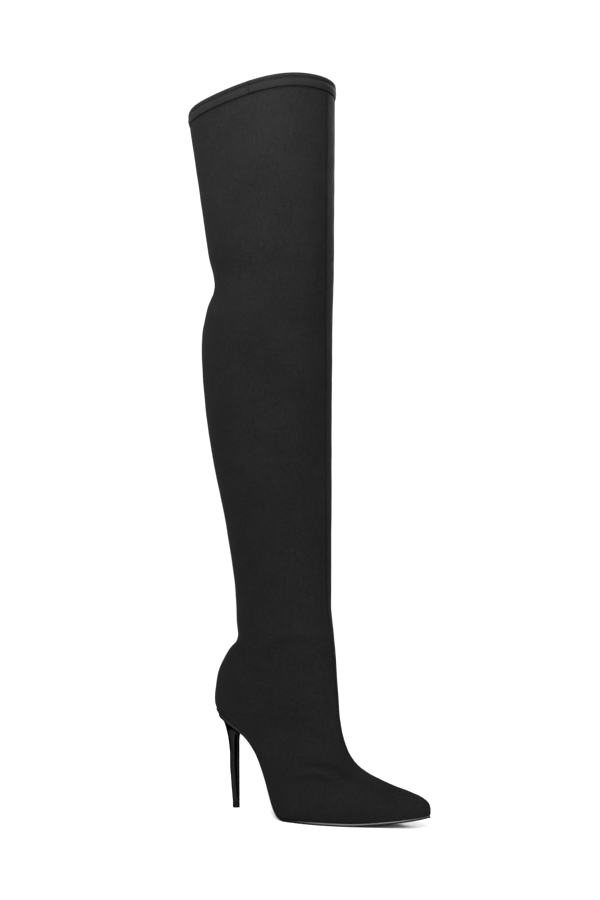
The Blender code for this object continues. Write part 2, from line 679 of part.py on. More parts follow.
def main():
    """The whole boot, its pieces parented to an empty at the origin."""
    for old in list(bpy.data.objects):
        bpy.data.objects.remove(old)
    boot = bpy.data.objects.new("boot", None)
    bpy.context.scene.collection.objects.link(boot)

    cloth = material("stretch cloth", (0.022, 0.022, 0.024), 0.85)
    rubber = material("sole rubber", (0.018, 0.018, 0.02), 0.45)
    lacquer = material("heel lacquer", (0.012, 0.012, 0.013), 0.3)
    board = material("sock cloth", (0.03, 0.03, 0.032), 0.8)
    teeth = material("zip teeth", (0.015, 0.015, 0.016), 0.4)
    metal = material("zip metal", (0.6, 0.6, 0.62), 0.25, 1.0)

    upper(cloth, boot)
    collar_band(cloth, boot)
    outsole(rubber, boot)
    insole(board, boot)
    heel(lacquer, boot)
    heel_tip(rubber, boot)
    zip_chain(teeth, boot)
    zip_slider(metal, boot)
    zip_pull(metal, boot)


main()
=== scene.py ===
"""The looks of a thigh-high stretch boot for the right foot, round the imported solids.

Metres. +X runs to the toe, +Y to the inner side of the leg and +Z up. The skin is laid over the same
sections of the last as the solids, in far finer steps, with its seams, folds and stitching.
"""

from collections import namedtuple
from math import cos, pi, radians, sin

import bmesh
import bpy
import numpy as np
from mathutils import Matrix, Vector, noise


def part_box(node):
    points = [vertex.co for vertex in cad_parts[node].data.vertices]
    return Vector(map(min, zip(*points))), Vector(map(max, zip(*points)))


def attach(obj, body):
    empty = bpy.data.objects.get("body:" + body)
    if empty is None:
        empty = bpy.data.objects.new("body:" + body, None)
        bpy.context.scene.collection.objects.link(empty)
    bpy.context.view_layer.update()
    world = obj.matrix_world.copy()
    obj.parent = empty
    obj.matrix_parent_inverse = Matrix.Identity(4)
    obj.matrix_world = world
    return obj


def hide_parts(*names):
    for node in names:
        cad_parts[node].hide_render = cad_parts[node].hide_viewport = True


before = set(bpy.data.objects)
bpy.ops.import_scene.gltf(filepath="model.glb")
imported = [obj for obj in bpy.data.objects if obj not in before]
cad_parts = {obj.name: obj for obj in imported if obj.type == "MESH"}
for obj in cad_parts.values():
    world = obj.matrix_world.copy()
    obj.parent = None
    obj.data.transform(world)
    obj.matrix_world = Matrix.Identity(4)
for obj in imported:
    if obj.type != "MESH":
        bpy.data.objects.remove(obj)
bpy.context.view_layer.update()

MM = 0.001

# Sizes of the last, as in the solids
LENGTH = 254.0 * MM               # back of the heel to the tip of the toe
HEEL_HEIGHT = 103.5 * MM          # floor to the sole's underside at the back of the seat
BALL_WIDTH = 80 * MM              # across the upper at the ball
INSTEP_HEIGHT = 205 * MM          # floor to the front of the ankle, where the leg ends
BOOT_HEIGHT = 747.5 * MM          # floor to the highest point of the collar
WALL = 1.8 * MM                   # stretch cloth bonded to its lining
GAP = 0.3 * MM                    # between one piece and the next
LASTING_GAP = 0.4 * MM            # between the sole and the upper's lasted edge
SWAY_TOP = 0.93 * BOOT_HEIGHT     # above this height the leg's levels take the collar's full curve
SWAY_FOOT = 0.80 * BOOT_HEIGHT    # and below this height they are straight
SWAY_LATE = 1.5                   # how late on its way to the front the collar climbs
TO_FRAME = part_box("upper")[1].x - LENGTH      # from the back of the foot to the frame's x
HEEL_CROWN = 1.5 * MM             # how far the heel's back rounds out at the seat
STEP = 1e-3                       # of turn or place, over which a direction is measured

# The collar band
BAND_HEIGHT = 14 * MM             # the elastic band over the top edge
BAND_THICKNESS = 3.2 * MM
BAND_PROUD = 0.7 * MM             # of the leg
BAND_SEAM = 4.9 * MM              # its stitching, below the top edge
BAND_DIP = BAND_HEIGHT - BAND_SEAM            # its stitching, above the hem
BAND_COLUMNS = 960
BAND_RIBS = 190                   # gathers drawn in by the elastic, round the whole collar
BAND_GATHER = 0.26 * MM           # how deep they are
COLLAR_ROUND = 400 * MM           # about the way round the collar
BAND_DROP = 3.6 * MM              # how much lower the band's top edge is at the back
BAND_JOIN = 0.305                 # the turn at which its two ends meet, on the outer side
UNDER_BAND = 0.92                 # the place at which the cloth starts, inside the band's foot

# The zip
ZIP_X = 79 * MM                   # from the back of the foot to the zip's line, which is upright
ZIP_TOP = 328 * MM                # height of the closed zip's slider
ZIP_FOOT = 88 * MM
SLIDER_HEIGHT = 10.5 * MM
SLOT_HALF = 3.9 * MM              # from the zip's line to the cloth's turned edge
PLACKET_ABOVE = 8 * MM            # the doubled cloth beyond the slider and beyond the zip's foot
PLACKET_BELOW = 4 * MM
STITCH_LINE = 6.5 * MM            # from the zip's line to the topstitching

Section = namedtuple(
    "Section", "name back_x back_z front_x front_z centre outer inner widest outer_edge inner_edge"
)

# The leg. x in shares of LENGTH, z of BOOT_HEIGHT, half widths of BALL_WIDTH.
LEG = [
    #        name         back x, z       front x, z     centre outer  inner  widest edges
    Section("collar",     -0.105, 0.9740, 0.537, 1.0000, 0,     0.800, 0.800, 0.50,  0, 0),
    Section("hem",        -0.101, 0.9553, 0.536, 0.9813, 0,     0.797, 0.797, 0.50,  0, 0),
    Section("thigh",      -0.052, 0.8620, 0.534, 0.8820, 0,     0.770, 0.770, 0.50,  0, 0),
    Section("above knee", -0.006, 0.7750, 0.532, 0.7820, 0,     0.735, 0.735, 0.50,  0, 0),
    Section("knee",        0.021, 0.7300, 0.531, 0.7300, 0,     0.700, 0.700, 0.50,  0, 0),
    Section("below knee", -0.038, 0.6750, 0.529, 0.6700, 0,     0.700, 0.700, 0.50,  0, 0),
    Section("calf",       -0.044, 0.6150, 0.530, 0.6150, 0,     0.688, 0.688, 0.50,  0, 0),
    Section("low calf",   -0.012, 0.5210, 0.529, 0.5210, 0,     0.650, 0.650, 0.50,  0, 0),
    Section("shin",        0.057, 0.4150, 0.531, 0.4150, 0,     0.575, 0.575, 0.50,  0, 0),
    Section("low shin",    0.107, 0.3210, 0.534, 0.3280, 0,     0.500, 0.500, 0.50,  0, 0),
    Section("hollow",      0.117, 0.2609, 0.537, 0.2916, 0,     0.464, 0.464, 0.50,  0, 0),
]

# The foot. x in shares of LENGTH, back z of HEEL_HEIGHT, front z of INSTEP_HEIGHT, widths of BALL_WIDTH.
# A back height of 0 stands on the sole.
FOOT = [
    #        name         back x, z      front x, z     centre outer  inner  widest edges
    Section("ankle",      0.121, 1.7300, 0.541, 1.0000, 0,     0.456, 0.456, 0.50,  0, 0),
    Section("cuff",       0.069, 1.6000, 0.558, 0.8700, 0,     0.444, 0.444, 0.48,  0, 0),
    Section("heel",       0.017, 1.4000, 0.572, 0.7250, 0,     0.425, 0.425, 0.45,  0, 0),
    Section("cup",        0.001, 1.2000, 0.583, 0.5950, 0,     0.412, 0.412, 0.42,  0.020, 0.020),
    Section("curl",       0.005, 1.0800, 0.588, 0.5250, 0,     0.400, 0.400, 0.38,  0.060, 0.060),
    Section("seat",       0.022, 0,      0.591, 0.5000, 0,     0.393, 0.393, 0.36,  0.110, 0.110),
    Section("seat turn",  0.032, 0,      0.594, 0.4800, 0,     0.386, 0.386, 0.34,  0.175, 0.175),
    Section("seat side",  0.062, 0,      0.597, 0.4600, 0,     0.380, 0.380, 0.31,  0.255, 0.255),
    Section("seat front", 0.110, 0,      0.601, 0.4350, 0,     0.372, 0.372, 0.28,  0.305, 0.305),
    Section("breast",     0.179, 0,      0.608, 0.4030, 0,     0.366, 0.366, 0.25,  0.305, 0.300),
    Section("waist",      0.246, 0,      0.619, 0.3660, 0,     0.378, 0.372, 0.24,  0.318, 0.290),
    Section("arch",       0.313, 0,      0.632, 0.3300, 0,     0.425, 0.398, 0.22,  0.368, 0.325),
    Section("joint",      0.382, 0,      0.648, 0.3010, 0,     0.500, 0.440, 0.22,  0.450, 0.385),
    Section("ball",       0.465, 0,      0.674, 0.2680, 0,     0.538, 0.480, 0.24,  0.490, 0.435),
    Section("tread",      0.580, 0,      0.718, 0.2390, 0.000, 0.495, 0.475, 0.26,  0.458, 0.440),
    Section("vamp",       0.690, 0,      0.774, 0.2160, 0.010, 0.392, 0.385, 0.30,  0.356, 0.355),
    Section("toe box",    0.795, 0,      0.839, 0.1930, 0.025, 0.275, 0.275, 0.34,  0.245, 0.250),
    Section("toe",        0.885, 0,      0.911, 0.1720, 0.038, 0.172, 0.170, 0.40,  0.150, 0.150),
    Section("nose",       0.950, 0,      0.963, 0.1500, 0.046, 0.100, 0.098, 0.45,  0.087, 0.085),
    Section("nose end",   0.985, 0,      0.991, 0.1260, 0.049, 0.054, 0.054, 0.50,  0.047, 0.047),
    Section("tip",        1.000, 0.1700, 1.000, 0,      0.051, 0.000, 0.000, 0.50,  0, 0),
]

Station = namedtuple("Station", "name x z slope margin thickness")

# The sole's underside. x in shares of LENGTH, z of HEEL_HEIGHT; margin is how far the sole's edge
# stands beyond the upper's lasted edge.
UNDERSIDE = [
    #       name          x       z      slope   margin    thickness
    Station("seat",       0.020, 0.995, -0.540, 0.0 * MM, 1.9 * MM),
    Station("breast",     0.180, 0.783, -0.640, 0.2 * MM, 1.9 * MM),
    Station("waist",      0.250, 0.625, -1.200, 0.2 * MM, 1.9 * MM),
    Station("arch",       0.330, 0.285, -2.050, 0.4 * MM, 2.2 * MM),
    Station("fall",       0.390, 0.044, -0.950, 0.8 * MM, 2.6 * MM),
    Station("ball",       0.455, 0.000,  0.000, 1.2 * MM, 2.9 * MM),
    Station("tread end",  0.665, 0.000,  0.000, 1.2 * MM, 2.9 * MM),
    Station("toe",        0.880, 0.052,  0.160, 1.0 * MM, 2.6 * MM),
    Station("tip",        1.000, 0.118,  0.270, 0.3 * MM, 2.4 * MM),
]


# ---------------------------------------------------------------- the last

def eased(start, end, leave, arrive, u):
    """The smooth curve from start to end that leaves and arrives at those rates."""
    return (
        (2 * u**3 - 3 * u**2 + 1) * start
        + (u**3 - 2 * u**2 + u) * leave
        + (3 * u**2 - 2 * u**3) * end
        + (u**3 - u**2) * arrive
    )


def underside(x):
    """The sole at x, from the back of the foot: height, margin and thickness. x may be an array."""
    x = np.asarray(x, float)
    marks = np.array([station[1:] for station in UNDERSIDE])
    i = np.clip(np.searchsorted(marks[:, 0] * LENGTH, x, side="right") - 1, 0, len(marks) - 2)
    one, two = marks[i], marks[i + 1]
    run = (two[..., 0] - one[..., 0]) * LENGTH
    u = (x - one[..., 0] * LENGTH) / run
    heights = (one[..., 1] * HEEL_HEIGHT, two[..., 1] * HEEL_HEIGHT)
    height = eased(*heights, one[..., 2] * run, two[..., 2] * run, u)
    share = np.clip(u, 0, 1)
    margin = one[..., 3] + (two[..., 3] - one[..., 3]) * share
    return height, margin, one[..., 4] + (two[..., 4] - one[..., 4]) * share


def sole_normal(x):
    """The direction out of the sole's top, in the plane of the foot's middle."""
    d = 0.1 * MM
    fall = underside(x - d)[0] - underside(x + d)[0]
    steep = np.hypot(fall, 2 * d)
    return np.stack([fall / steep, np.zeros_like(fall), 2 * d / steep], -1)


def lasted_height(x):
    """Height of the upper's lasted edge at x."""
    height, _, thickness = underside(x)
    return height + (thickness + LASTING_GAP) / sole_normal(x)[..., 2]


def rows_in_metres():
    """The tables' rows as an array, with shares turned into metres."""
    made = []
    scales = ((LEG, BOOT_HEIGHT, BOOT_HEIGHT), (FOOT, INSTEP_HEIGHT, HEEL_HEIGHT))
    for table, front_scale, back_scale in scales:
        for row in table:
            back_x = row.back_x * LENGTH
            back_z = row.back_z * back_scale or float(lasted_height(back_x))
            widths = [row.centre, row.outer, row.inner]
            edges = [row.outer_edge, row.inner_edge]
            made.append([
                back_x, back_z, row.front_x * LENGTH, row.front_z * front_scale,
                *(w * BALL_WIDTH for w in widths), row.widest, *(e * BALL_WIDTH for e in edges),
            ])
    made[-1][3] = made[-1][1]
    return np.array(made)


ROWS = rows_in_metres()
ROW_NAMES = [row.name for row in LEG + FOOT]
LAST = len(ROWS) - 1.0
SEAT = float(ROW_NAMES.index("seat"))
Measures = namedtuple("Measures", Section._fields[1:])


def sections(places):
    """The last's measures at an array of places, where a whole number is a row of the tables."""
    places = np.asarray(places, float)
    i = np.minimum(places.astype(int), len(ROWS) - 2)
    before, one, two, after = (ROWS[np.clip(i + k, 0, len(ROWS) - 1)] for k in (-1, 0, 1, 2))
    values = eased(one, two, (two - before) / 2, (after - one) / 2, (places - i)[:, None])
    values[:, 8:] = np.maximum(values[:, 8:], 0)
    on_sole = (places >= SEAT) & (places < LAST)
    values[on_sole, 1] = lasted_height(values[on_sole, 0])
    return Measures(*(value[:, None] for value in values.T))


def swayed(along, height):
    """How far up from back to front a point lies: the collar's line climbs between level ends."""
    late = np.clip(along, 0, 1) ** SWAY_LATE
    curve = late * late * (3 - 2 * late)
    share = np.clip((height - SWAY_FOOT) / (SWAY_TOP - SWAY_FOOT), 0, 1)
    return along + (curve - along) * share


def skin(places, turns):
    """Points on the outside of the upper, a row for each place. A turn is 0 at the back or bottom,
    0.25 on the outer side, 0.5 at the front or ridge and 0.75 on the inner side."""
    s = sections(places)
    outside = turns <= 0.5
    angle = 2 * pi * np.where(outside, turns, 1 - turns)
    half, edge = np.where(outside, s.outer, s.inner), np.where(outside, s.outer_edge, s.inner_edge)
    behind = angle < pi / 2
    across = np.where(behind, edge + (half - edge) * np.sin(angle), half * np.sin(angle))
    rear, fore = s.widest * (1 - np.cos(angle)), s.widest - (1 - s.widest) * np.cos(angle)
    along = np.where(behind, rear, fore)
    return np.stack([
        s.back_x + (s.front_x - s.back_x) * along + TO_FRAME,
        s.centre + np.where(outside, -across, across),
        s.back_z + (s.front_z - s.back_z) * swayed(along, s.back_z),
    ], -1)


def unit(vectors):
    """The vectors at length one, and zero ones left alone."""
    length = np.linalg.norm(vectors, axis=-1, keepdims=True)
    return vectors / np.maximum(length, 1e-12)


def outward(places, turns):
    """The outward directions of the skin."""
    places = np.asarray(places, float)
    down = skin(np.minimum(places + STEP, LAST), turns) - skin(np.maximum(places - STEP, 0), turns)
    return unit(np.cross(down, skin(places, turns + STEP) - skin(places, turns - STEP)))


def zip_turns(places):
    """The turns at which the inner side crosses the zip's upright line."""
    s = sections(places)
    along = (ZIP_X - s.back_x) / np.maximum(s.front_x - s.back_x, MM)
    along = np.maximum(along, s.widest / 2)
    fore = np.arccos(np.clip((s.widest - along) / (1 - s.widest), -1, 1))
    rear = np.arccos(np.clip(1 - along / s.widest, -1, 1))
    return 1 - np.where(along > s.widest, fore, rear) / (2 * pi)


def zip_place(height):
    """Where the zip's line stands that high, found by halving."""
    low, high = 0.0, float(ROW_NAMES.index("waist"))
    for _ in range(40):
        middle = (low + high) / 2
        if skin([middle], zip_turns([middle]))[0, 0, 2] > height:
            low = middle
        else:
            high = middle
    return low


SLOT_TOP = zip_place(ZIP_TOP + SLIDER_HEIGHT / 2 + GAP)
SLOT_FOOT = zip_place(ZIP_FOOT)
PLACKET_TOP = zip_place(ZIP_TOP + SLIDER_HEIGHT / 2 + PLACKET_ABOVE)
PLACKET_FOOT = zip_place(ZIP_FOOT - PLACKET_BELOW)


# ---------------------------------------------------------------- the skin's grid

# Distances from a seam's line at which the grid has a column
SEAM_STEPS = np.array([0, 0.3, 0.6, 0.95, 1.4, 2.0, 2.8, 4.0, 5.6]) * MM
ZIP_STEPS = np.array([0, 1.8, 3.5, 3.7, 3.9, 4.15, 4.5, 5.2, 5.9, 6.2, 6.5, 6.8, 7.3, 8.4]) * MM
NARROW = 0.34                     # the most of a panel's width that such steps may take
CLOTH_STEP = 2.9 * MM             # the most between two rows of the cloth
LINING_STEP = 6 * MM
TOO_CLOSE = 0.02                  # rows nearer than this share of a row's gap to a set one are left out

# Columns between the seams' own, over the outer side, from the front to the zip and from there to the back
CLOTH_COLUMNS = (34, 8, 13)
LINING_COLUMNS = (26, 8, 12)


def places_every(first, last, spacing, extra=()):
    """Places from one row to another, so that the skin's rows lie no further apart than that."""
    turns = np.linspace(0, 1, 17)[None, :]
    places = [float(last)]
    for i in range(int(first), int(last)):
        gap = np.linalg.norm(skin([i + 1.0], turns) - skin([float(i)], turns), axis=-1).max()
        count = int(np.ceil(gap / spacing))
        places += [i + k / count for k in range(count)]
    places = [p for p in places if all(abs(p - e) > TOO_CLOSE for e in extra)]
    return np.array(sorted(places + list(extra)))


def panel_turns(places, start, end, near_start, near_end, between):
    """Turns across one panel, at set distances from the seams at its two sides."""
    share = np.linspace(0, 1, 49)[None, :]
    turns = start + (end - start) * share
    run = np.cumsum(np.linalg.norm(np.diff(skin(places, turns), axis=1), axis=-1), axis=1)
    run = np.concatenate([np.zeros((len(places), 1)), run], axis=1)
    width = run[:, -1:]
    scale = np.minimum(1, NARROW * width / max(near_start[-1], near_end[-1], MM))
    first, second = near_start[None, :] * scale, width - near_end[None, ::-1] * scale
    steps = np.linspace(0, 1, between + 2)[None, 1:-1]
    middle = first[:, -1:] + (second[:, :1] - first[:, -1:]) * steps
    wanted = np.concatenate([first, middle, second], axis=1)
    return np.array([np.interp(w, r, t) for w, r, t in zip(wanted, run, np.broadcast_to(turns, run.shape))])


Grid = namedtuple("Grid", "places turns points out front zip")


def skin_grid(places, fine=True):
    """The skin's columns: clusters at the back and front seams and at the zip, even steps between."""
    seam = SEAM_STEPS if fine else SEAM_STEPS[[0, -1]]
    zipped = ZIP_STEPS if fine else ZIP_STEPS[[0, -1]]
    counts = CLOTH_COLUMNS if fine else LINING_COLUMNS
    nil, half, whole = (np.full((len(places), 1), value) for value in (0.0, 0.5, 1.0))
    line = zip_turns(places)
    outer = panel_turns(places, nil, half, seam, seam, counts[0])
    fore = panel_turns(places, half, line, seam, zipped, counts[1])
    rear = panel_turns(places, line, whole, zipped, seam, counts[2])
    turns = np.concatenate([outer, fore[:, 1:], rear[:, 1:]], axis=1)
    front = outer.shape[1] - 1
    return Grid(places, turns, skin(places, turns), outward(places, turns), front, front + fore.shape[1] - 1)


def distance_from(grid, column):
    """Distance along each row of the grid from one of its columns."""
    steps = np.linalg.norm(np.diff(grid.points, axis=1), axis=-1)
    run = np.concatenate([np.zeros((len(steps), 1)), np.cumsum(steps, axis=1)], axis=1)
    return run - run[:, [column]]


def skin_map(grid):
    """The grid's map in metres: round the leg from the front's ridge, and down the front from the collar."""
    u = distance_from(grid, grid.front)
    return u, np.broadcast_to(down_the_front(grid.places)[:, None], u.shape)


def hump(distance, width):
    """A smooth bump of height 1."""
    return np.exp(-(distance / width) ** 2)


def step_up(value, start, end):
    """0 before start, 1 after end, smooth between."""
    u = np.clip((value - start) / (end - start), 0, 1)
    return u * u * (3 - 2 * u)


CREASE_PAINTED_SHADE = 1.9                 # how strongly shade is painted into a trough, and a highlight onto a ridge
DEEPEST = 0.9 * MM                # how far a fold may go into the cloth's own thickness
Fold = namedtuple("Fold", "name side x z angle reach width depth bow")

# Soft folds, as seen from the side: the middle's distance from the back of the foot and its
# height, the line's slope in degrees, half its length, its width, its depth (negative for a ridge) and
# how far its ends curve down.
FOLDS = [
    Fold("vamp wrinkle",         "outer", 140 * MM,  47 * MM,   2, 17 * MM,  2.6 * MM,  0.90 * MM,  3 * MM),
    Fold("ridge above it",       "outer", 143 * MM,  52 * MM,   0, 18 * MM,  2.8 * MM, -0.70 * MM,  3 * MM),
    Fold("second wrinkle",       "outer", 148 * MM,  58 * MM,  -6, 15 * MM,  2.8 * MM,  0.80 * MM,  3 * MM),
    Fold("wrinkle by the ridge", "outer", 168 * MM,  50 * MM, -34, 11 * MM,  3.0 * MM,  0.70 * MM, -2 * MM),
    Fold("instep wrinkle",       "outer", 140 * MM,  84 * MM, -28, 20 * MM,  4.0 * MM,  0.60 * MM, -4 * MM),
    Fold("inner vamp wrinkle",   "inner", 126 * MM,  44 * MM,   2, 18 * MM,  3.0 * MM,  0.90 * MM,  3 * MM),
    Fold("inner ridge",          "inner", 128 * MM,  50 * MM,   0, 18 * MM,  3.0 * MM, -0.70 * MM,  3 * MM),
    Fold("ankle wrinkle",        "outer", 110 * MM, 178 * MM,  14, 26 * MM,  5.0 * MM,  0.80 * MM,  5 * MM),
    Fold("ankle ridge",          "outer", 108 * MM, 189 * MM,  14, 24 * MM,  5.0 * MM, -0.60 * MM,  5 * MM),
    Fold("inner ankle wrinkle",  "inner", 112 * MM, 180 * MM,  14, 22 * MM,  5.0 * MM,  0.80 * MM,  5 * MM),
    Fold("heel wrinkle",         "outer",  42 * MM, 172 * MM, -24, 18 * MM,  4.0 * MM,  0.80 * MM,  4 * MM),
    Fold("heel ridge",           "outer",  46 * MM, 182 * MM, -24, 18 * MM,  4.5 * MM, -0.50 * MM,  4 * MM),
    Fold("inner heel wrinkle",   "inner",  42 * MM, 172 * MM, -24, 18 * MM,  4.0 * MM,  0.80 * MM,  4 * MM),
    Fold("knee hollow",          "outer",  18 * MM, 541 * MM, -12, 26 * MM,  7.0 * MM,  1.60 * MM,  6 * MM),
    Fold("knee ridge",           "outer",  20 * MM, 522 * MM, -12, 26 * MM,  7.0 * MM, -1.00 * MM,  6 * MM),
    Fold("lower knee hollow",    "outer",  24 * MM, 506 * MM, -18, 22 * MM,  6.0 * MM,  0.80 * MM,  6 * MM),
    Fold("inner knee hollow",    "inner",  18 * MM, 541 * MM, -12, 26 * MM,  7.0 * MM,  1.60 * MM,  6 * MM),
    Fold("inner knee ridge",     "inner",  20 * MM, 522 * MM, -12, 26 * MM,  7.0 * MM, -1.00 * MM,  6 * MM),
]

Drape = namedtuple("Drape", "turn top foot width depth")

# Long upright swells and hollows of the empty shaft: the turn, the heights between which it shows,
# its half width in turn and its depth.
DRAPES = [
    Drape(0.33, 715 * MM, 560 * MM, 0.030, -1.3 * MM),
    Drape(0.21, 700 * MM, 590 * MM, 0.040,  1.2 * MM),
    Drape(0.40, 520 * MM, 300 * MM, 0.026, -0.9 * MM),
    Drape(0.27, 500 * MM, 330 * MM, 0.035,  0.9 * MM),
    Drape(0.66, 705 * MM, 540 * MM, 0.035, -1.3 * MM),
    Drape(0.83, 690 * MM, 560 * MM, 0.045,  1.2 * MM),
    Drape(0.87, 500 * MM, 330 * MM, 0.035,  0.9 * MM),
    Drape(0.36, 330 * MM, 215 * MM, 0.035,  0.8 * MM),
]


def down_the_front(places):
    """Distance over the skin down the front's ridge from the collar, for each place."""
    fine = np.linspace(0, LAST, 600)
    ridge = skin(fine, np.full((len(fine), 1), 0.5))[:, 0]
    run = np.concatenate([[0], np.cumsum(np.linalg.norm(np.diff(ridge, axis=0), axis=-1))])
    return np.interp(places, fine, run)


def folds(grid):
    """The depth of the listed folds and drapes over the grid, and the shade painted by how sharply creased
    the cloth is: dark in troughs, a painted highlight on ridges.
    """
    height = grid.points[..., 2]
    depth, painted_crease_shade = np.zeros(grid.turns.shape), np.zeros(grid.turns.shape)
    for fold in FOLDS:
        ahead, above = grid.points[..., 0] - TO_FRAME - fold.x, height - fold.z
        angle = radians(fold.angle)
        along = ahead * cos(angle) + above * sin(angle)
        across = above * cos(angle) - ahead * sin(angle) + fold.bow * (along / fold.reach) ** 2
        same_side = (grid.turns <= 0.5) == (fold.side == "outer")
        shape = same_side * fold.depth * hump(along, fold.reach) * hump(across, fold.width)
        depth += shape
        # Shade painted into a trough and a highlight onto a ridge, stronger where the fold is steep
        painted_crease_shade += CREASE_PAINTED_SHADE * shape / fold.width
    for drape in DRAPES:
        shown = step_up(height, drape.foot - 60 * MM, drape.foot + 30 * MM)
        shown *= 1 - step_up(height, drape.top - 40 * MM, drape.top + 30 * MM)
        depth += drape.depth * hump(grid.turns - drape.turn, drape.width) * shown
    return np.minimum(depth, DEEPEST), painted_crease_shade


def waves(points, size, seed):
    """Gentle uneven swells of the cloth, between -1 and 1, at that size."""
    shift = Vector((seed * 3.7, seed * 1.3, seed * 7.1))
    flat = points.reshape(-1, 3)
    return np.array([noise.noise(Vector(p) / size + shift) for p in flat]).reshape(points.shape[:-1])


def uneven_cloth(points):
    """The swells of the laid cloth, long ones with short ones over them."""
    return 0.55 * MM * waves(points, 55 * MM, 1) + 0.22 * MM * waves(points, 17 * MM, 2)


def slack(places):
    """How freely the cloth swells: wholly on the leg, and little where it is pulled tight over the foot."""
    return 1 - 0.7 * step_up(places, SEAT - 2, SEAT + 4)[:, None]


def above_seat(places):
    """1 down to the heel's cup, and 0 where the back seam has run out over the seat."""
    return 1 - step_up(places, SEAT - 1.4, SEAT - 0.4)[:, None]


FRONT_SEAM = 0.75 * MM            # how deep the seams' grooves are
BACK_SEAM = 0.65 * MM
SEAM_SHADE = 0.7 * MM             # half the width of the shade painted along a seam
STITCH_SHADE = 0.6 * MM
PLACKET_RAISED = 0.40 * MM
SLOT_SUNK = 1.72 * MM             # how far the slot's turned edge goes in, nearly the wall


def seam_relief(distance, along, depth):
    """A closed seam: a sharp groove between two soft pads of turned-in cloth, puckered along its length."""
    pucker = 1 + 0.25 * np.sin(along / (3.4 * MM)) * np.sin(along / (23 * MM))
    pads = 0.28 * MM * hump(np.abs(distance) - 2.3 * MM, 1.7 * MM) * pucker
    return pads - depth * hump(distance, 0.5 * MM)


def seams(grid, down, from_front, before_nose):
    """The front and the back seam: how far the cloth stands out there, and the shade painted along them."""
    s = sections(grid.places)
    edge = np.where(grid.turns <= 0.5, s.outer_edge, s.inner_edge)
    from_back = np.minimum(distance_from(grid, 0), -distance_from(grid, -1)) + edge
    on_back = above_seat(grid.places)
    out = seam_relief(from_front, down, FRONT_SEAM) * before_nose
    out += seam_relief(from_back, down, BACK_SEAM) * on_back
    return out, hump(from_front, SEAM_SHADE) * before_nose + hump(from_back, SEAM_SHADE) * on_back


def between(places, top, foot):
    """1 for the places from the top to the foot, and 0 for the rest."""
    return ((places >= top) & (places <= foot))[:, None]


def relief(grid):
    """How far the cloth stands out of the bare skin, and the shade painted on it: 1 deep in a seam, below 0
    where a highlight is painted on a ridge.
    """
    down = down_the_front(grid.places)[:, None]
    from_front = distance_from(grid, grid.front)
    before_nose = 1 - step_up(grid.places, LAST - 2.2, LAST - 0.6)[:, None]
    out, groove = seams(grid, down, from_front, before_nose)

    # The doubled cloth beside the zip, its stitched line, and its edge turned in at the slot
    from_zip = np.abs(distance_from(grid, grid.zip))
    placket = between(grid.places, PLACKET_TOP, PLACKET_FOOT)
    raised = step_up(-from_zip, -STITCH_LINE - 0.9 * MM, -STITCH_LINE + 0.3 * MM) * placket
    out += PLACKET_RAISED * raised - PLACKET_RAISED * hump(from_zip - STITCH_LINE, 0.35 * MM) * placket
    slot = between(grid.places, SLOT_TOP, SLOT_FOOT)
    sunk = step_up(-from_zip, -SLOT_HALF - 0.25 * MM, -SLOT_HALF + 0.35 * MM) * slot
    out = out * (1 - sunk) - SLOT_SUNK * sunk
    # Shade painted along the zip's sunk stitched line
    groove = np.maximum(groove, hump(from_zip - STITCH_LINE, STITCH_SHADE) * placket)

    # The nick under the collar band
    below_band = np.maximum(down - down_the_front(np.array([1.0])), 0)
    out -= 0.55 * MM * hump(below_band, 1.3 * MM)
    # Shade painted in the nick under the collar band
    groove = np.maximum(groove, hump(below_band, 1.6 * MM) * np.ones_like(from_zip))

    # Swells and folds, which die out at the band, at the nose and in the slot
    calm = step_up(below_band, 2 * MM, 45 * MM) * before_nose * (1 - sunk)
    depth, painted_crease_shade = folds(grid)
    swells = uneven_cloth(grid.points) * slack(grid.places)
    out += (swells - depth * (1 - hump(from_front, 3 * MM))) * calm
    # The folds' painted shade and highlight join the shade painted in the seams
    return out, np.clip(groove + painted_crease_shade * calm, -0.9, 1)


Cloth = namedtuple("Cloth", "grid lift groove")


def laid_cloth():
    """The cloth of foot and leg: its grid, how it stands at each point, and the shade painted on it."""
    # Rows just outside the placket's and the slot's ends and on them, so that the cloth steps sharply there
    ends = (PLACKET_TOP - 0.02, PLACKET_TOP, SLOT_TOP - 0.004, SLOT_TOP)
    ends += (SLOT_FOOT, SLOT_FOOT + 0.006, PLACKET_FOOT, PLACKET_FOOT + 0.02)
    places = np.concatenate([[UNDER_BAND], places_every(1, LAST, CLOTH_STEP, ends)])
    grid = skin_grid(places)
    return Cloth(grid, *relief(grid))


def on_cloth(cloth, places, turns, above):
    """Points that far above the cloth's own face, and their outward directions."""
    grid = cloth.grid
    rows = np.interp(places, grid.places, np.arange(len(grid.places)))
    low = np.minimum(rows.astype(int), len(grid.places) - 2)

    def lift_in(numbers):
        return np.array([np.interp(t, grid.turns[k], cloth.lift[k]) for k, t in zip(numbers, turns)])

    lift = lift_in(low) + (lift_in(low + 1) - lift_in(low)) * (rows - low)
    out = outward(places, turns[:, None])[:, 0]
    return skin(places, turns[:, None])[:, 0] + out * (lift + above)[:, None], out


# ---------------------------------------------------------------- meshes

ALIKE = 1e-6                      # points nearer than this are one
SHARP = 50                        # an edge that turns by more degrees than this isn't smoothed
METAL_SHARP = 40


def new_object(name, data):
    made = bpy.data.objects.new(name, data)
    bpy.context.scene.collection.objects.link(made)
    return made


def finished(name, mesh, material, body="boot", replaces=(), slot=None, sharp=SHARP):
    """A mesh as a finished piece that rides on a body of the frame."""
    mesh.shade_smooth()
    mesh.set_sharp_from_angle(angle=radians(sharp))
    mesh.materials.clear()
    mesh.materials.append(material)
    made = new_object(name, mesh)
    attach(made, body)
    if replaces:
        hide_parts(*replaces)
    return made


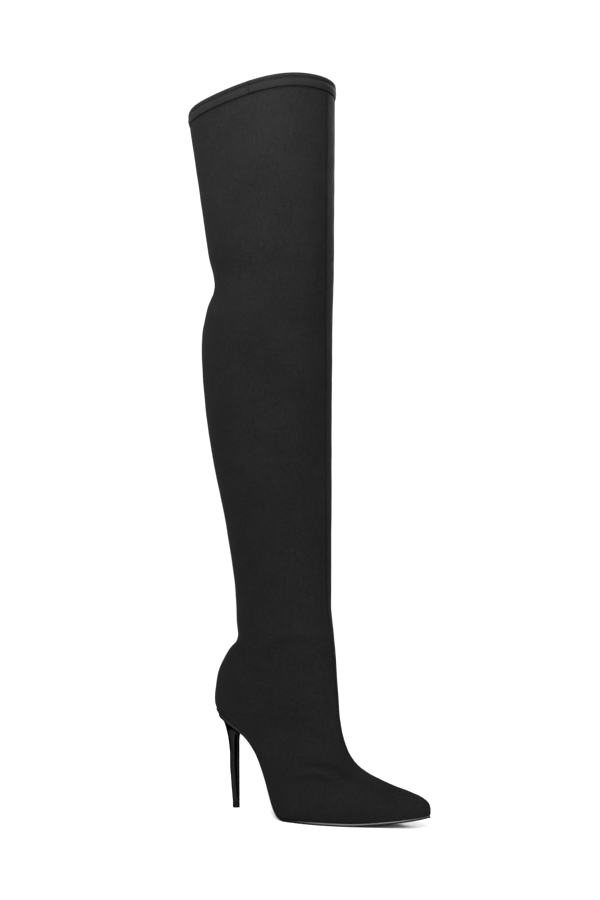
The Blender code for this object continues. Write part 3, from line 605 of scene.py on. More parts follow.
class Sheet:
    """A mesh put together from grids of points, with a map in metres and a value at each point."""

    def __init__(self):
        self.bm = bmesh.new()
        self.map = self.bm.loops.layers.uv.new("skin")
        # Each point's value: the shade and highlight painted on the piece, read by its finish
        self.value = self.bm.verts.layers.float.new("groove")

    def add(self, points, flip=False, u=None, v=None, value=None, closed=False):
        """Faces over a grid of points, given row by row. closed joins the last column to the first."""
        rows, columns = points.shape[:2]
        verts = [[self.bm.verts.new(p) for p in row] for row in points]
        if value is not None:
            for row, numbers in zip(verts, value):
                for vert, number in zip(row, numbers):
                    vert[self.value] = number
        for i in range(rows - 1):
            for j in range(columns if closed else columns - 1):
                k = (j + 1) % columns
                corners = [(i, j), (i + 1, j), (i + 1, k), (i, k)]
                if flip:
                    corners.reverse()
                face = self.bm.faces.new([verts[a][b] for a, b in corners])
                if u is not None:
                    for loop, (a, b) in zip(face.loops, corners):
                        loop[self.map].uv = (u[a, b], v[a, b])
        return verts

    def solid(self, loops, value=None):
        """A closed form through loops of points, with a flat face over its first and its last loop."""
        verts = self.add(np.asarray(loops), closed=True, value=value)
        self.bm.faces.new(verts[0][::-1])
        self.bm.faces.new(verts[-1])

    def edges_round(self, ring):
        """The edges from each vertex of a ring to the next."""
        return [self.bm.edges.get((a, b)) for a, b in zip(ring, ring[1:] + ring[:1])]

    def mesh(self, name, merge=ALIKE, recalculate=False):
        """The finished mesh, with points that lie together joined."""
        bmesh.ops.remove_doubles(self.bm, verts=self.bm.verts, dist=merge)
        bmesh.ops.dissolve_degenerate(self.bm, edges=self.bm.edges, dist=ALIKE / 10)
        if recalculate:
            bmesh.ops.recalc_face_normals(self.bm, faces=self.bm.faces)
        made = bpy.data.meshes.new(name)
        self.bm.to_mesh(made)
        self.bm.free()
        return made


STRIP_COLUMNS = 15
SEAM_MERGE = 0.02 * MM            # the cloth's sides meet within this
TURN_IN = 2.2 * MM                # how far the lasting margin reaches in under the foot


def back_strip(grid, laid):
    """The strip that joins the two sides of the laid cloth round the heel's cup, down to the seat."""
    rows = np.where((grid.places > float(ROW_NAMES.index("heel"))) & (grid.places <= SEAT))[0]
    share = np.linspace(-1, 1, STRIP_COLUMNS)
    share = 0.5 + 0.5 * np.sign(share) * share**2
    first, last = grid.points[rows, -1], grid.points[rows, 0]
    points = first[:, None] + (last - first)[:, None] * share[None, :, None]
    width = np.linalg.norm(last - first, axis=-1)[:, None]
    distance = (share[None, :] - 0.5) * width
    down = down_the_front(grid.places[rows])[:, None]
    lift = seam_relief(distance, down, BACK_SEAM) * above_seat(grid.places[rows])
    lift += uneven_cloth(points) * slack(grid.places[rows])
    lift += HEEL_CROWN * (1 - (2 * share[None, :] - 1) ** 2) * (width / width[-1]) ** 2
    middle = unit(grid.out[rows, 0] + grid.out[rows, -1])
    lifted = points + middle[:, None] * lift[..., None]
    lifted[:, 0], lifted[:, -1] = laid[rows, -1], laid[rows, 0]
    return lifted


def tuck(points, centre, inward, down):
    """The lasting margin: the skin's lower edge, turned in under the foot and pressed to the sole."""
    moved = points.copy()
    moved[:, 1] += np.sign(centre - points[:, 1]) * np.minimum(inward, np.abs(centre - points[:, 1]))
    moved[:, 2] -= down
    return moved


def upper_cloth(cloth, material):
    """The outside of foot and leg in one mesh, with its seams, folds and turned edges."""
    grid, lift, groove = cloth
    points = grid.points + grid.out * lift[..., None]
    u, v = skin_map(grid)
    sheet = Sheet()
    # The points carry the shade and highlight painted on the cloth
    sheet.add(points, u=u, v=v, value=groove)
    strip = back_strip(grid, points)
    sheet.add(strip)
    foot = strip[-1]
    sheet.add(np.stack([foot, foot + (0.25 * MM, 0, -0.25 * MM), foot + (TURN_IN, 0, -1.2 * MM)]))
    on_sole = grid.places >= SEAT
    centre = sections(grid.places).centre[on_sole, 0]
    for side in (0, -1):
        edge = points[on_sole, side]
        bend, end = tuck(edge, centre, 0.25 * MM, 0.22 * MM), tuck(edge, centre, TURN_IN, 0.3 * MM)
        sheet.add(np.stack([edge, bend, end], axis=1), flip=(side == 0))
    mesh = sheet.mesh("upper_cloth", SEAM_MERGE)
    return finished("upper_cloth", mesh, material, replaces=["upper"], slot="stretch cloth")


def lining(material):
    """The knitted lining inside foot and leg."""
    grid = skin_grid(places_every(1, LAST - 2, LINING_STEP), fine=False)
    points = grid.points - grid.out * WALL
    points += grid.out * (0.35 * MM * waves(points, 30 * MM, 5))[..., None]
    u, v = skin_map(grid)
    sheet = Sheet()
    sheet.add(points, flip=True, u=u, v=v)
    rows = grid.places <= SEAT
    sheet.add(np.stack([points[rows, -1], points[rows, 0]], axis=1), flip=True)
    return finished("lining", sheet.mesh("lining"), material, slot="stretch cloth")


def collar_frames(turns):
    """Along the collar: the top edge, the hem below it, the upward and the outward directions."""
    turns = np.asarray(turns)[None, :]
    top, hem = skin([0.0], turns)[0], skin([1.0], turns)[0]
    return top, hem, unit(top - hem), outward([0.5], turns)[0]


def band_drop(turns):
    """How much lower the band's top edge lies, round the back."""
    return BAND_DROP * (1 - step_up(np.minimum(turns, 1 - turns), 0.02, 0.17))


# Down the band's face: out of it and above the dip, then out of it and above the hem, in mm
ROUND_THE_DIP = [
    (0.15, 2.4), (0.05, 1.4), (-0.30, 0.8), (-0.85, 0.0), (-0.30, -0.8), (0.25, -1.7), (0.55, -3.0),
    (0.45, -4.4),
]
BAND_FOOT = [(0.15, 3.2), (-0.05, 2.0), (-0.2, 1.1), (-0.6, 0.6), (-1.2, 0.45)]


def band_profile():
    """The folded elastic in section: how far out of the skin and how high above the hem, from its inner
    edge over the rolled rim, down past the stitched dip to its outer lower edge."""
    inner, outer = BAND_PROUD - BAND_THICKNESS, BAND_PROUD
    radius = BAND_THICKNESS / 2
    rim = BAND_HEIGHT - radius
    inside = [(inner + 0.5 * MM, 0.5 * MM), (inner, 1.4 * MM), (inner, rim)]
    angles = np.linspace(0.2, pi - 0.2, 10)
    rolled = [(inner + radius - radius * cos(a), rim + radius * sin(a)) for a in angles]
    dipped = [(outer + out * MM, BAND_DIP + up * MM) for out, up in ROUND_THE_DIP]
    return inside + rolled + dipped + [(outer + out * MM, up * MM) for out, up in BAND_FOOT]


def collar_band(material):
    """The elastic folded over the top edge, drawn into gathers, its ends overlapped on the outer side."""
    turns = np.arange(BAND_COLUMNS) / BAND_COLUMNS
    top, hem, up, out = collar_frames(turns)
    top -= up * band_drop(turns)[:, None]
    along = np.concatenate([[0], np.cumsum(np.linalg.norm(np.diff(top, axis=0), axis=-1))])
    uneven = 0.6 + 0.4 * np.sin(along / (37 * MM)) * np.sin(along / (11 * MM))
    uneven *= 1 - 0.65 * step_up(turns, BAND_JOIN - 0.004, BAND_JOIN + 0.004)
    phase = 2 * pi * turns * BAND_RIBS
    from_join = np.abs(turns - BAND_JOIN) * COLLAR_ROUND
    overlap = 0.5 * MM * step_up(turns, BAND_JOIN - 0.003, BAND_JOIN)
    overlap *= 1 - step_up(turns, BAND_JOIN, BAND_JOIN + 0.03)
    rows, us, vs, values = [], [], [], []
    for reach, level in band_profile():
        shown = 1.0 if reach > 0 else 0.0
        slanted = np.sin(phase + (level - BAND_DIP) / (1.6 * MM))
        drawn = slanted * uneven * hump(level - BAND_DIP, 5 * MM)
        stands = reach + shown * (BAND_GATHER * drawn + overlap)
        rows.append(hem + (top - hem) * (level / BAND_HEIGHT) + out * stands[:, None])
        us.append(along)
        vs.append(np.full(BAND_COLUMNS, level))
        # Shade painted in the stitched dip and along the foot, in the gathers' troughs with a highlight on
        # their crests, and a dark line down the join
        dip_and_foot_shade = max(hump(level - BAND_DIP, 1.2 * MM), hump(level, 1.6 * MM))
        lines = np.maximum(dip_and_foot_shade, 0.7 * hump(from_join, 1 * MM))
        values.append(shown * np.clip(lines - 0.45 * drawn, -0.4, 1))
    points, u, v, value = (np.array(rows + rows[:1]) for rows in (rows, us, vs, values))
    sheet = Sheet()
    sheet.add(points, flip=True, u=u, v=v, value=value, closed=True)
    mesh = sheet.mesh("collar_band", recalculate=True)
    return finished("collar_band_folded", mesh, material, replaces=["collar_band"], slot="stretch cloth")


# ---------------------------------------------------------------- sole, insole and heel

def beside(loop):
    """The directions to the right of a flat closed loop, at its points."""
    ahead = unit(np.roll(loop, -1, axis=0) - np.roll(loop, 1, axis=0))
    return np.column_stack([ahead[:, 1], -ahead[:, 0]])


# The shares of the crown's depth at which the rounded back of the seat has points
CROWN_SHARES = np.array([0.985, 0.9, 0.75, 0.5, 0.25])


def plan(last, count):
    """The lasted edge from the seat to a row: outer points, inner points and their outward directions."""
    places = np.linspace(SEAT, float(ROW_NAMES.index(last)), count)
    if last == "tip":
        places = places[:-1]      # the two edges meet at the tip itself
    s = sections(places)
    outer = np.concatenate([s.back_x, s.centre - s.outer_edge], axis=1)
    inner = np.concatenate([s.back_x, s.centre + s.inner_edge], axis=1)
    back = np.column_stack([outer[0, 0] - HEEL_CROWN * CROWN_SHARES, outer[0, 1] * np.sqrt(1 - CROWN_SHARES)])
    outer, inner = np.vstack([back, outer]), np.vstack([back * (1, -1), inner])
    away = beside(np.concatenate([outer, inner[::-1]]))
    return outer, inner, away[:len(outer)], away[len(outer):][::-1]


def rim_highlight(x, levels):
    """Where a highlight is painted along a layer's upper edge: along the forepart, and a little at the seat.
    """
    shown = step_up(x, 118 * MM, 165 * MM) * (1 - 0.7 * step_up(x, 225 * MM, 250 * MM))
    shown += 0.4 * (1 - step_up(x, 45 * MM, 65 * MM))
    return hump(levels - 0.80, 0.17)[None, :] * shown[:, None]


def layer(name, last, count, inset, levels, side, across, belly=None):
    """A sheet that follows the sole, in count steps from the seat to a row, with so many columns across.
    side holds (inset, share of the thickness) up one edge from the bottom to the top, levels gives the
    bottom's and the top's height above the underside, and belly how far the bottom is hollowed."""
    outer, inner, out_a, out_b = plan(last, count)
    x = outer[:, 0]
    up = sole_normal(x)
    base = underside(x)[0]
    bottom, top = levels(x)
    share = np.linspace(0, 1, across + 2)[1:-1]

    def at(points, level):
        raised = np.column_stack([points[:, 0], points[:, 1], base]) + up * level[:, None]
        raised[:, 0] += TO_FRAME
        return raised

    def edge(amount):
        drawn_in = -(inset(x) + amount)[:, None]
        return outer + out_a * drawn_in, inner + out_b * drawn_in

    outer_side = [at(edge(amount)[0], bottom + (top - bottom) * rise) for amount, rise in side]
    inner_side = [at(edge(amount)[1], bottom + (top - bottom) * rise) for amount, rise in side]
    one, two = edge(side[-1][0])
    over = [at(one + (two - one) * q, top) for q in share]
    # Back underneath, from the inner edge to the outer one
    two, one = edge(side[0][0])
    sunk = [bottom if belly is None else bottom + belly(x, q) for q in share]
    under = [at(one + (two - one) * q, level) for q, level in zip(share, sunk)]
    loops = np.stack(outer_side + over + inner_side[::-1] + under, axis=1)
    rises = [rise for _, rise in side]
    levels_at = np.array(rises + [1.0] * across + rises[::-1] + [0.0] * across)
    sheet = Sheet()
    # The values hold the highlight painted along the layer's upper edge
    sheet.solid(loops, rim_highlight(x, levels_at))
    return sheet.mesh(name, recalculate=True)


CHANNEL_DEPTH = 0.35 * MM
CHANNEL_IN = 0.09                 # from the sole's edge to the channel, as a share of the width
INSOLE_THICKNESS = 1.6 * MM
INSOLE_MARGIN = 0.9 * MM          # inside the upper's lasted edge
INSOLE_TAPER = 0.04               # and more towards the toe, where the upper's wall leans in
TOE_START = 190 * MM


def outsole(material):
    """The thin sole, its edge rounded below and beaded above, with a channel round its underside."""
    side = [(1.1 * MM, 0.0), (0.45 * MM, 0.06), (0.12 * MM, 0.20), (0.0, 0.34), (0.0, 0.46),
            (0.10 * MM, 0.58), (0.30 * MM, 0.74), (0.52 * MM, 0.88), (0.75 * MM, 0.97), (1.1 * MM, 1.0)]

    def margins(x):
        return -underside(x)[1]

    def levels(x):
        return np.zeros_like(x), underside(x)[2]

    def channel(x, q):
        """A shallow groove in from both edges."""
        near = hump(np.array(min(q, 1 - q) - CHANNEL_IN), 0.02)
        return CHANNEL_DEPTH * near * np.ones_like(x)

    mesh = layer("sole", "tip", 190, margins, levels, side, across=40, belly=channel)
    return finished("sole", mesh, material, replaces=["outsole"], slot="sole rubber", sharp=60)


def insole(material):
    """The sock-covered board inside."""
    side = [(0.3 * MM, 0.0), (0.0, 0.3), (0.05 * MM, 0.7), (0.5 * MM, 1.0)]

    def margins(x):
        return INSOLE_MARGIN + INSOLE_TAPER * np.maximum(0, x - TOE_START)

    def levels(x):
        foot = underside(x)[2] + GAP
        return foot, foot + INSOLE_THICKNESS

    mesh = layer("sock", "nose", 120, margins, levels, side, across=16)
    return finished("sock", mesh, material, replaces=["insole"], slot="sock cloth")


# The heel, as in the solids
SEAT_START = 6.2 * MM             # the heel's top, from the back of the foot: its back, middle and breast
SEAT_MIDDLE = 24 * MM
SEAT_BREAST = 41 * MM
SEAT_HALF = 23.4 * MM
RIM_INSET = 0.45 * MM             # the eased edge of its top
RIM_DROP = 0.35 * MM
FLARE_FOOT = 42 * MM              # where the stem begins to widen into the seat
FLARE_SIZE = 1.5                  # the stem there, against its foot
FLARE_EASE = 1.6                  # how much closer the levels stand near the seat
FLARE_BACK = 2.0                  # how quickly the flare draws in behind, and at the breast
FLARE_BREAST = 14.0
STEM_DEPTH = 7.8 * MM             # the stem at its foot, from back to breast
STEM_WIDTH = 7.6 * MM
STEM_BREAST = 26.2 * MM           # from the back of the foot to the breast of the stem
STEM_LEAN = 1.2 * MM              # the stem's middle at the flare's foot, behind its own foot
BREAST_DEPTH = 0.92               # from the stem's middle to its breast, against its foot's half depth
TIP_HEIGHT = 6 * MM
HEEL_COLUMNS = 72
HEEL_ANGLES = 2 * pi * np.arange(HEEL_COLUMNS) / HEEL_COLUMNS


def stem_loop(size, height, lean=0.0):
    """The stem's outline, round behind and a little flatter at its breast."""
    angles = HEEL_ANGLES
    middle = STEM_BREAST - STEM_DEPTH / 2 - lean
    depth = STEM_DEPTH / 2 * np.where(np.cos(angles) > 0, size, BREAST_DEPTH)
    x = middle - depth * np.cos(angles) + TO_FRAME
    return np.column_stack([x, STEM_WIDTH / 2 * size * np.sin(angles), np.full(len(angles), height)])


def heel(material):
    """A stiletto: a thin rim under the seat, a flare that draws in, and a slim straight stem."""
    angles = HEEL_ANGLES
    stem = stem_loop(FLARE_SIZE, FLARE_FOOT, STEM_LEAN)
    reach = np.where(np.cos(angles) > 0, SEAT_MIDDLE - SEAT_START, SEAT_BREAST - SEAT_MIDDLE)
    x = SEAT_MIDDLE - reach * np.cos(angles)
    top = underside(x)[0] - GAP / sole_normal(x)[:, 2]
    start = np.column_stack([x + TO_FRAME, SEAT_HALF * np.sin(angles), top])
    speed = FLARE_BACK + (FLARE_BREAST - FLARE_BACK) * (1 - np.cos(angles)) / 2
    centre = start.mean(axis=0)
    rim = start - unit(start - centre) * RIM_INSET
    loops = [rim]
    for level in np.linspace(0, 1, 48):
        down = level ** FLARE_EASE
        point = start + (stem - start) * (1 - (1 - down) ** speed)[:, None]
        point[:, 2] = start[:, 2] + (FLARE_FOOT - start[:, 2]) * down
        if level == 0:
            point[:, 2] -= RIM_DROP
        loops.append(point)
    for share in np.linspace(0, 1, 14)[1:]:
        height = FLARE_FOOT + (TIP_HEIGHT + GAP - FLARE_FOOT) * share
        size = FLARE_SIZE + (1.0 - FLARE_SIZE) * share
        loops.append(stem_loop(size, height, STEM_LEAN * (1 - share)))
    loops.append(stem_loop(0.93, TIP_HEIGHT + GAP))
    sheet = Sheet()
    sheet.solid(loops)
    mesh = sheet.mesh("heel_lacquered", recalculate=True)
    return finished("heel_lacquered", mesh, material, replaces=["heel"], slot="heel lacquer")


def heel_tip(material):
    """The wearing piece, with its edges eased."""
    eased_top = [(0.92, TIP_HEIGHT), (1.0, TIP_HEIGHT - 0.3 * MM)]
    eased_foot = [(1.0, 0.5 * MM), (0.985, 0.12 * MM), (0.95, 0.0)]
    sheet = Sheet()
    sheet.solid([stem_loop(size, height) for size, height in eased_top + eased_foot])
    mesh = sheet.mesh("wearing_tip", recalculate=True)
    return finished("wearing_tip", mesh, material, replaces=["heel_tip"], slot="sole rubber")


# ---------------------------------------------------------------- what repeats: stitches and teeth

class Tree:
    """A node tree that is built one node at a time."""

    def __init__(self, tree):
        self.tree = tree

    def node(self, kind, settings=None, **inputs):
        """A node of a kind, with its settings made first, and then the values or links of its sockets."""
        made = self.tree.nodes.new(kind)
        for name, value in (settings or {}).items():
            setattr(made, name, value)
        for name, value in inputs.items():
            self.feed(made.inputs[name.replace("_", " ")], value)
        return made

    def feed(self, socket, value):
        if isinstance(value, bpy.types.NodeSocket):
            self.tree.links.new(value, socket)
        else:
            socket.default_value = value


PAST_THE_END = 10.0               # longer than any line of beads


def bead_tree():
    """Beads along a line, each with its half sizes out of the leg, across the line and along it.
    The line carries its outward direction in the attribute 'out'."""
    group = bpy.data.node_groups.new("beads along a line", "GeometryNodeTree")
    face = group.interface
    face.new_socket("Geometry", in_out="INPUT", socket_type="NodeSocketGeometry")
    for name, kind in (("Pitch", "Float"), ("Half sizes", "Vector"), ("Aside", "Float"), ("Start", "Float"),
                       ("Finish", "Material")):
        face.new_socket(name, in_out="INPUT", socket_type=f"NodeSocket{kind}")
    face.new_socket("Geometry", in_out="OUTPUT", socket_type="NodeSocketGeometry")
    t = Tree(group)
    given = t.node("NodeGroupInput").outputs
    curve = t.node("GeometryNodeMeshToCurve", Mesh=given["Geometry"])
    trimmed = t.node("GeometryNodeTrimCurve", {"mode": "LENGTH"}, Curve=curve.outputs[0])
    from_length, to_length = trimmed.inputs[4], trimmed.inputs[5]
    t.feed(from_length, given["Start"])
    t.feed(to_length, PAST_THE_END)
    points = t.node("GeometryNodeResampleCurve", {"mode": "LENGTH"}, Curve=trimmed.outputs[0],
                    Length=given["Pitch"])
    stored = t.node("GeometryNodeInputNamedAttribute", {"data_type": "FLOAT_VECTOR"}, Name="out")
    out = stored.outputs["Attribute"]
    tangent = t.node("GeometryNodeInputTangent").outputs[0]
    turned = t.node("FunctionNodeAxesToRotation", {"primary_axis": "Z", "secondary_axis": "X"})
    t.feed(turned.inputs[0], tangent)
    t.feed(turned.inputs[1], out)
    side = t.node("ShaderNodeVectorMath", {"operation": "CROSS_PRODUCT"})
    t.feed(side.inputs[0], out)
    t.feed(side.inputs[1], tangent)
    moved = t.node("ShaderNodeVectorMath", {"operation": "SCALE"})
    t.feed(moved.inputs[0], side.outputs[0])
    t.feed(moved.inputs["Scale"], given["Aside"])
    placed = t.node("GeometryNodeSetPosition", Geometry=points.outputs[0], Offset=moved.outputs[0])
    bead = t.node("GeometryNodeMeshUVSphere", Segments=8, Rings=5, Radius=1.0)
    smooth = t.node("GeometryNodeSetShadeSmooth", Geometry=bead.outputs[0])
    copies = t.node("GeometryNodeInstanceOnPoints", Points=placed.outputs[0], Instance=smooth.outputs[0],
                    Rotation=turned.outputs[0], Scale=given["Half sizes"])
    real = t.node("GeometryNodeRealizeInstances", Geometry=copies.outputs[0])
    painted = t.node("GeometryNodeSetMaterial", Geometry=real.outputs[0], Material=given["Finish"])
    end = t.node("NodeGroupOutput")
    t.feed(end.inputs[0], painted.outputs[0])
    return group


BEADS = bead_tree()


def beads(name, lines, pitch, half_sizes, material, aside=0.0, start=0.0, body="boot", slot=None):
    """Beads along open lines, each a pair of arrays: points and outward directions."""
    mesh = bpy.data.meshes.new(name)
    verts, edges, outs = [], [], []
    for points, out in lines:
        first = len(verts)
        verts += [tuple(p) for p in points]
        outs += [tuple(o) for o in out]
        edges += [(first + i, first + i + 1) for i in range(len(points) - 1)]
    mesh.from_pydata(verts, edges, [])
    outward_of = mesh.attributes.new("out", "FLOAT_VECTOR", "POINT")
    outward_of.data.foreach_set("vector", np.array(outs, np.float32).ravel())
    carrier = new_object(f"{name}_line", mesh)
    modifier = carrier.modifiers.new("beads", "NODES")
    modifier.node_group = BEADS
    values = {"Pitch": pitch, "Half sizes": half_sizes, "Aside": aside, "Start": start, "Finish": material}
    for item in BEADS.interface.items_tree:
        if item.item_type == "SOCKET" and item.in_out == "INPUT" and item.name in values:
            modifier[item.identifier] = values[item.name]
    bpy.context.view_layer.update()
    graph = bpy.context.evaluated_depsgraph_get()
    plain = bpy.data.meshes.new_from_object(carrier.evaluated_get(graph))
    bpy.data.objects.remove(carrier)
    bpy.data.meshes.remove(mesh)
    return finished(name, plain, material, body=body, slot=slot, sharp=180)


def beside_zip(places, aside):
    """The turns at which a line runs beside the zip's own, at that distance over the skin."""
    line = zip_turns(places)
    ahead = skin(places, line + STEP) - skin(places, line - STEP)
    per_turn = np.linalg.norm(ahead, axis=-1) / (2 * STEP)
    return line + aside / np.maximum(per_turn, MM)


def zip_line(first, last, count, aside, depth):
    """A line beside the zip's own, at a depth below the bare skin, with its outward directions."""
    places = np.linspace(first, last, count)
    turns = beside_zip(places, aside)
    out = outward(places, turns)[:, 0]
    return skin(places, turns)[:, 0] - out * depth, out


# Half the tape in section, from its middle to its edge: aside and below the bare skin, in mm
TAPE_HALF = [(0.0, 1.05), (1.7, 0.95), (2.2, 0.72), (2.6, 1.0), (3.7, 1.05), (3.9, 1.5)]


def zip_tape(material):
    """The woven tape behind the teeth, its edges under the cloth, with a cord down each side of the teeth."""
    profile = [(-aside, depth) for aside, depth in TAPE_HALF[:0:-1]] + TAPE_HALF
    middle = len(TAPE_HALF) - 1
    first, last = zip_place(ZIP_TOP + 3 * MM), zip_place(ZIP_FOOT + 0.6 * MM)
    columns = [zip_line(first, last, 120, aside * MM, depth * MM)[0] for aside, depth in profile]
    points = np.stack(columns, axis=1)
    u = np.broadcast_to(np.array([aside * MM for aside, _ in profile])[None, :], points.shape[:2])
    v = np.broadcast_to(points[:, [middle], 2], points.shape[:2])
    sheet = Sheet()
    sheet.add(points, u=u, v=v)
    mesh = sheet.mesh("zip_tape")
    return finished("zip_tape", mesh, material, replaces=["zip_chain"], slot="zip teeth")


TOOTH_PITCH = 1.5 * MM
TOOTH_SIZE = (0.42 * MM, 1.15 * MM, 0.52 * MM)
TOOTH_ASIDE = 0.55 * MM


def zip_teeth(material):
    """The closed coil: beads that reach across the middle from either side in turn."""
    first, last = zip_place(ZIP_TOP - 1 * MM), zip_place(ZIP_FOOT + 1.2 * MM)
    line = zip_line(first, last, 160, 0.0, 0.75 * MM)
    sides = (("teeth_front", TOOTH_ASIDE, 0.0), ("teeth_rear", -TOOTH_ASIDE, TOOTH_PITCH / 2))
    for name, aside, start in sides:
        beads(name, [line], TOOTH_PITCH, TOOTH_SIZE, material, aside=aside, start=start, slot="zip teeth")


# How far apart stitches are, and their half sizes out of the cloth, across the line and along it
STITCH_PITCH, STITCH_SIZE = 3.1 * MM, (0.20 * MM, 0.22 * MM, 1.15 * MM)
TACK_PITCH, TACK_SIZE = 0.75 * MM, (0.22 * MM, 0.85 * MM, 0.34 * MM)
BAND_PITCH, BAND_STITCH = 3.0 * MM, (0.22 * MM, 0.26 * MM, 1.1 * MM)


def zip_stitching(cloth, material):
    """Thread down both sides of the zip, and a close tack across its two ends."""
    first, last = zip_place(ZIP_TOP + SLIDER_HEIGHT / 2 + 6 * MM), zip_place(ZIP_FOOT - 2 * MM)
    places = np.linspace(first, last, 400)
    turns = [beside_zip(places, aside)[:, 0] for aside in (-STITCH_LINE, STITCH_LINE)]
    sides = [on_cloth(cloth, places, side, 0.14 * MM) for side in turns]
    beads("zip_stitches", sides, STITCH_PITCH, STITCH_SIZE, material, slot="stretch cloth")
    across = np.linspace(-STITCH_LINE, STITCH_LINE, 40)
    tacks = []
    for place in (first, last):
        turns = np.array([beside_zip(np.array([place]), aside)[0, 0] for aside in across])
        tacks.append(on_cloth(cloth, np.full(len(across), place), turns, 0.08 * MM))
    beads("zip_tacks", tacks, TACK_PITCH, TACK_SIZE, material, slot="stretch cloth")


def band_stitching(material):
    """Thread round the collar, down in the band's dip."""
    turns = np.linspace(0, 1, 260)
    top, hem, up, out = collar_frames(turns)
    level = BAND_DIP / BAND_HEIGHT
    drop = band_drop(turns) * level
    line = hem + (top - hem) * level + out * (BAND_PROUD - 0.66 * MM) - up * drop[:, None]
    beads("band_stitches", [(line, out)], BAND_PITCH, BAND_STITCH, material, slot="stretch cloth")


# ---------------------------------------------------------------- slider and pull

PLATE = 1.2 * MM                  # the plate's face above the skin
BRIDGE_HALF = 0.8 * MM            # half the bridge's width
BRIDGE_RADIUS = 1.6 * MM          # to the middle of the half ring's bar
BRIDGE_BAR = 0.5 * MM             # half the bar's thickness
HINGE_OUT = PLATE + 1.0 * MM      # the pull's axis above the skin, and above the slider's middle
HINGE_UP = 1.2 * MM
PULL_LENGTH = 24 * MM
PULL_HALF = 0.6 * MM              # half its thickness
EYE_HALF = 1.4 * MM               # half the width of its eye
EYE_LENGTH = 2.3 * MM
EYE_CORNER = 0.45 * MM

# The slider's outline, from its foot to its top: up the zip and half the width, in mm
SLIDER_OUTLINE = [
    (-5.25, 0.0), (-5.25, 2.0), (-4.9, 2.55), (-3.0, 2.85), (-0.5, 3.25), (1.4, 3.62), (2.6, 3.7),
    (3.7, 3.55), (4.5, 3.1), (5.05, 2.3), (5.25, 1.3), (4.9, 0.0),
]

# Up the plate's rounded edge from behind to its face: how far its outline is drawn in there, and how far
# it stands out of the leg, in mm
SLIDER_EDGE = [
    (0.75, -0.95), (0.45, -1.0), (0.30, -0.85), (0.25, -0.2), (0.0, 0.05), (0.0, 0.55), (0.08, 0.78),
    (0.28, 0.98), (0.6, 1.1), (1.2, 1.17), (2.0, 1.2),
]

# The pull's half width down its length, in shares of its length and mm
PULL_OUTLINE = [
    (0.0, 1.9), (0.015, 2.35), (0.045, 2.6), (0.13, 2.6), (0.20, 2.2), (0.27, 1.95), (0.36, 1.93),
    (0.60, 2.2), (0.80, 2.58), (0.89, 2.66), (0.935, 2.5), (0.968, 2.05), (0.988, 1.35), (0.998, 0.6),
    (1.0, 0.0),
]

# Through the pull's thickness from back to front: how far its edge is drawn in, and how deep, in mm
PULL_EDGE = [(0.26, -0.60), (0.09, -0.52), (0.0, -0.36), (0.0, 0.36), (0.09, 0.52), (0.26, 0.60)]


def smooth_line(points, count):
    """A smooth curve through the points, as that many points."""
    points = np.array(points, float)
    ends = np.vstack([2 * points[0] - points[1], points, 2 * points[-1] - points[-2]])
    at = np.linspace(0, len(points) - 1, count)
    i = np.minimum(at.astype(int), len(points) - 2)
    one, two = ends[i + 1], ends[i + 2]
    return eased(one, two, (two - ends[i]) / 2, (ends[i + 3] - one) / 2, (at - i)[:, None])


def inset(loop, amount):
    """A flat loop drawn in by an amount, at right angles to its line."""
    away = beside(loop)
    turning = np.sum(loop[:, 0] * np.roll(loop[:, 1], -1) - np.roll(loop[:, 0], -1) * loop[:, 1])
    return loop - away * amount * np.sign(turning)


def slider_axes():
    """The slider's middle on the skin, and the directions across the zip, along it and out of the leg."""
    place = np.array([zip_place(ZIP_TOP)])
    turn = zip_turns(place)
    out = outward(place, turn)[0, 0]
    across = unit(np.cross(out, (0, 0, 1)))
    return skin(place, turn)[0, 0], across, np.cross(across, out), out


def slider_plate(middle, across, up, out):
    """Loops up the edge of a shield-shaped plate, crowned and rolled over the teeth at its sides."""
    half = smooth_line([(w, v) for v, w in SLIDER_OUTLINE], 40) * MM
    loop = np.vstack([half, (half * (-1, 1))[-2:0:-1]])
    loops = []
    for amount, level in SLIDER_EDGE:
        flat = inset(loop, amount * MM)
        loops.append(middle + flat[:, :1] * across + flat[:, 1:] * up + out * level * MM)
    return loops


def squared(reach, half):
    """A round bar's reach, from -1 to 1, pushed out to that of a square bar with rounded edges."""
    return half * np.sign(reach) * abs(reach) ** 0.55


def slider_bridge(middle, across, up, out):
    """Loops along the half ring on the plate, from foot to foot."""
    foot = 0.6 * MM - HINGE_OUT
    arc = [(BRIDGE_RADIUS * cos(a), BRIDGE_RADIUS * sin(a)) for a in np.linspace(0, pi, 25)]
    path = np.array([(BRIDGE_RADIUS, foot), *arc, (-BRIDGE_RADIUS, foot)])
    ahead = unit(np.gradient(path, axis=0))
    aside = np.column_stack([ahead[:, 1], -ahead[:, 0]])
    rings = []
    for a in np.linspace(0, 2 * pi, 16, endpoint=False):
        wide, thick = squared(cos(a), BRIDGE_HALF), squared(sin(a), BRIDGE_BAR)
        flat = path + aside * thick + (HINGE_UP, HINGE_OUT)
        rings.append(middle + across * wide + flat[:, :1] * up + flat[:, 1:] * out)
    return np.stack(rings, axis=1)


def zip_slider(material):
    """The slider's front plate, with the bridge that holds the pull."""
    axes = slider_axes()
    sheet = Sheet()
    sheet.solid(slider_plate(*axes))
    sheet.solid(slider_bridge(*axes))
    mesh = sheet.mesh("slider", recalculate=True)
    return finished("slider", mesh, material, replaces=["zip_slider"], slot="zip metal", sharp=METAL_SHARP)


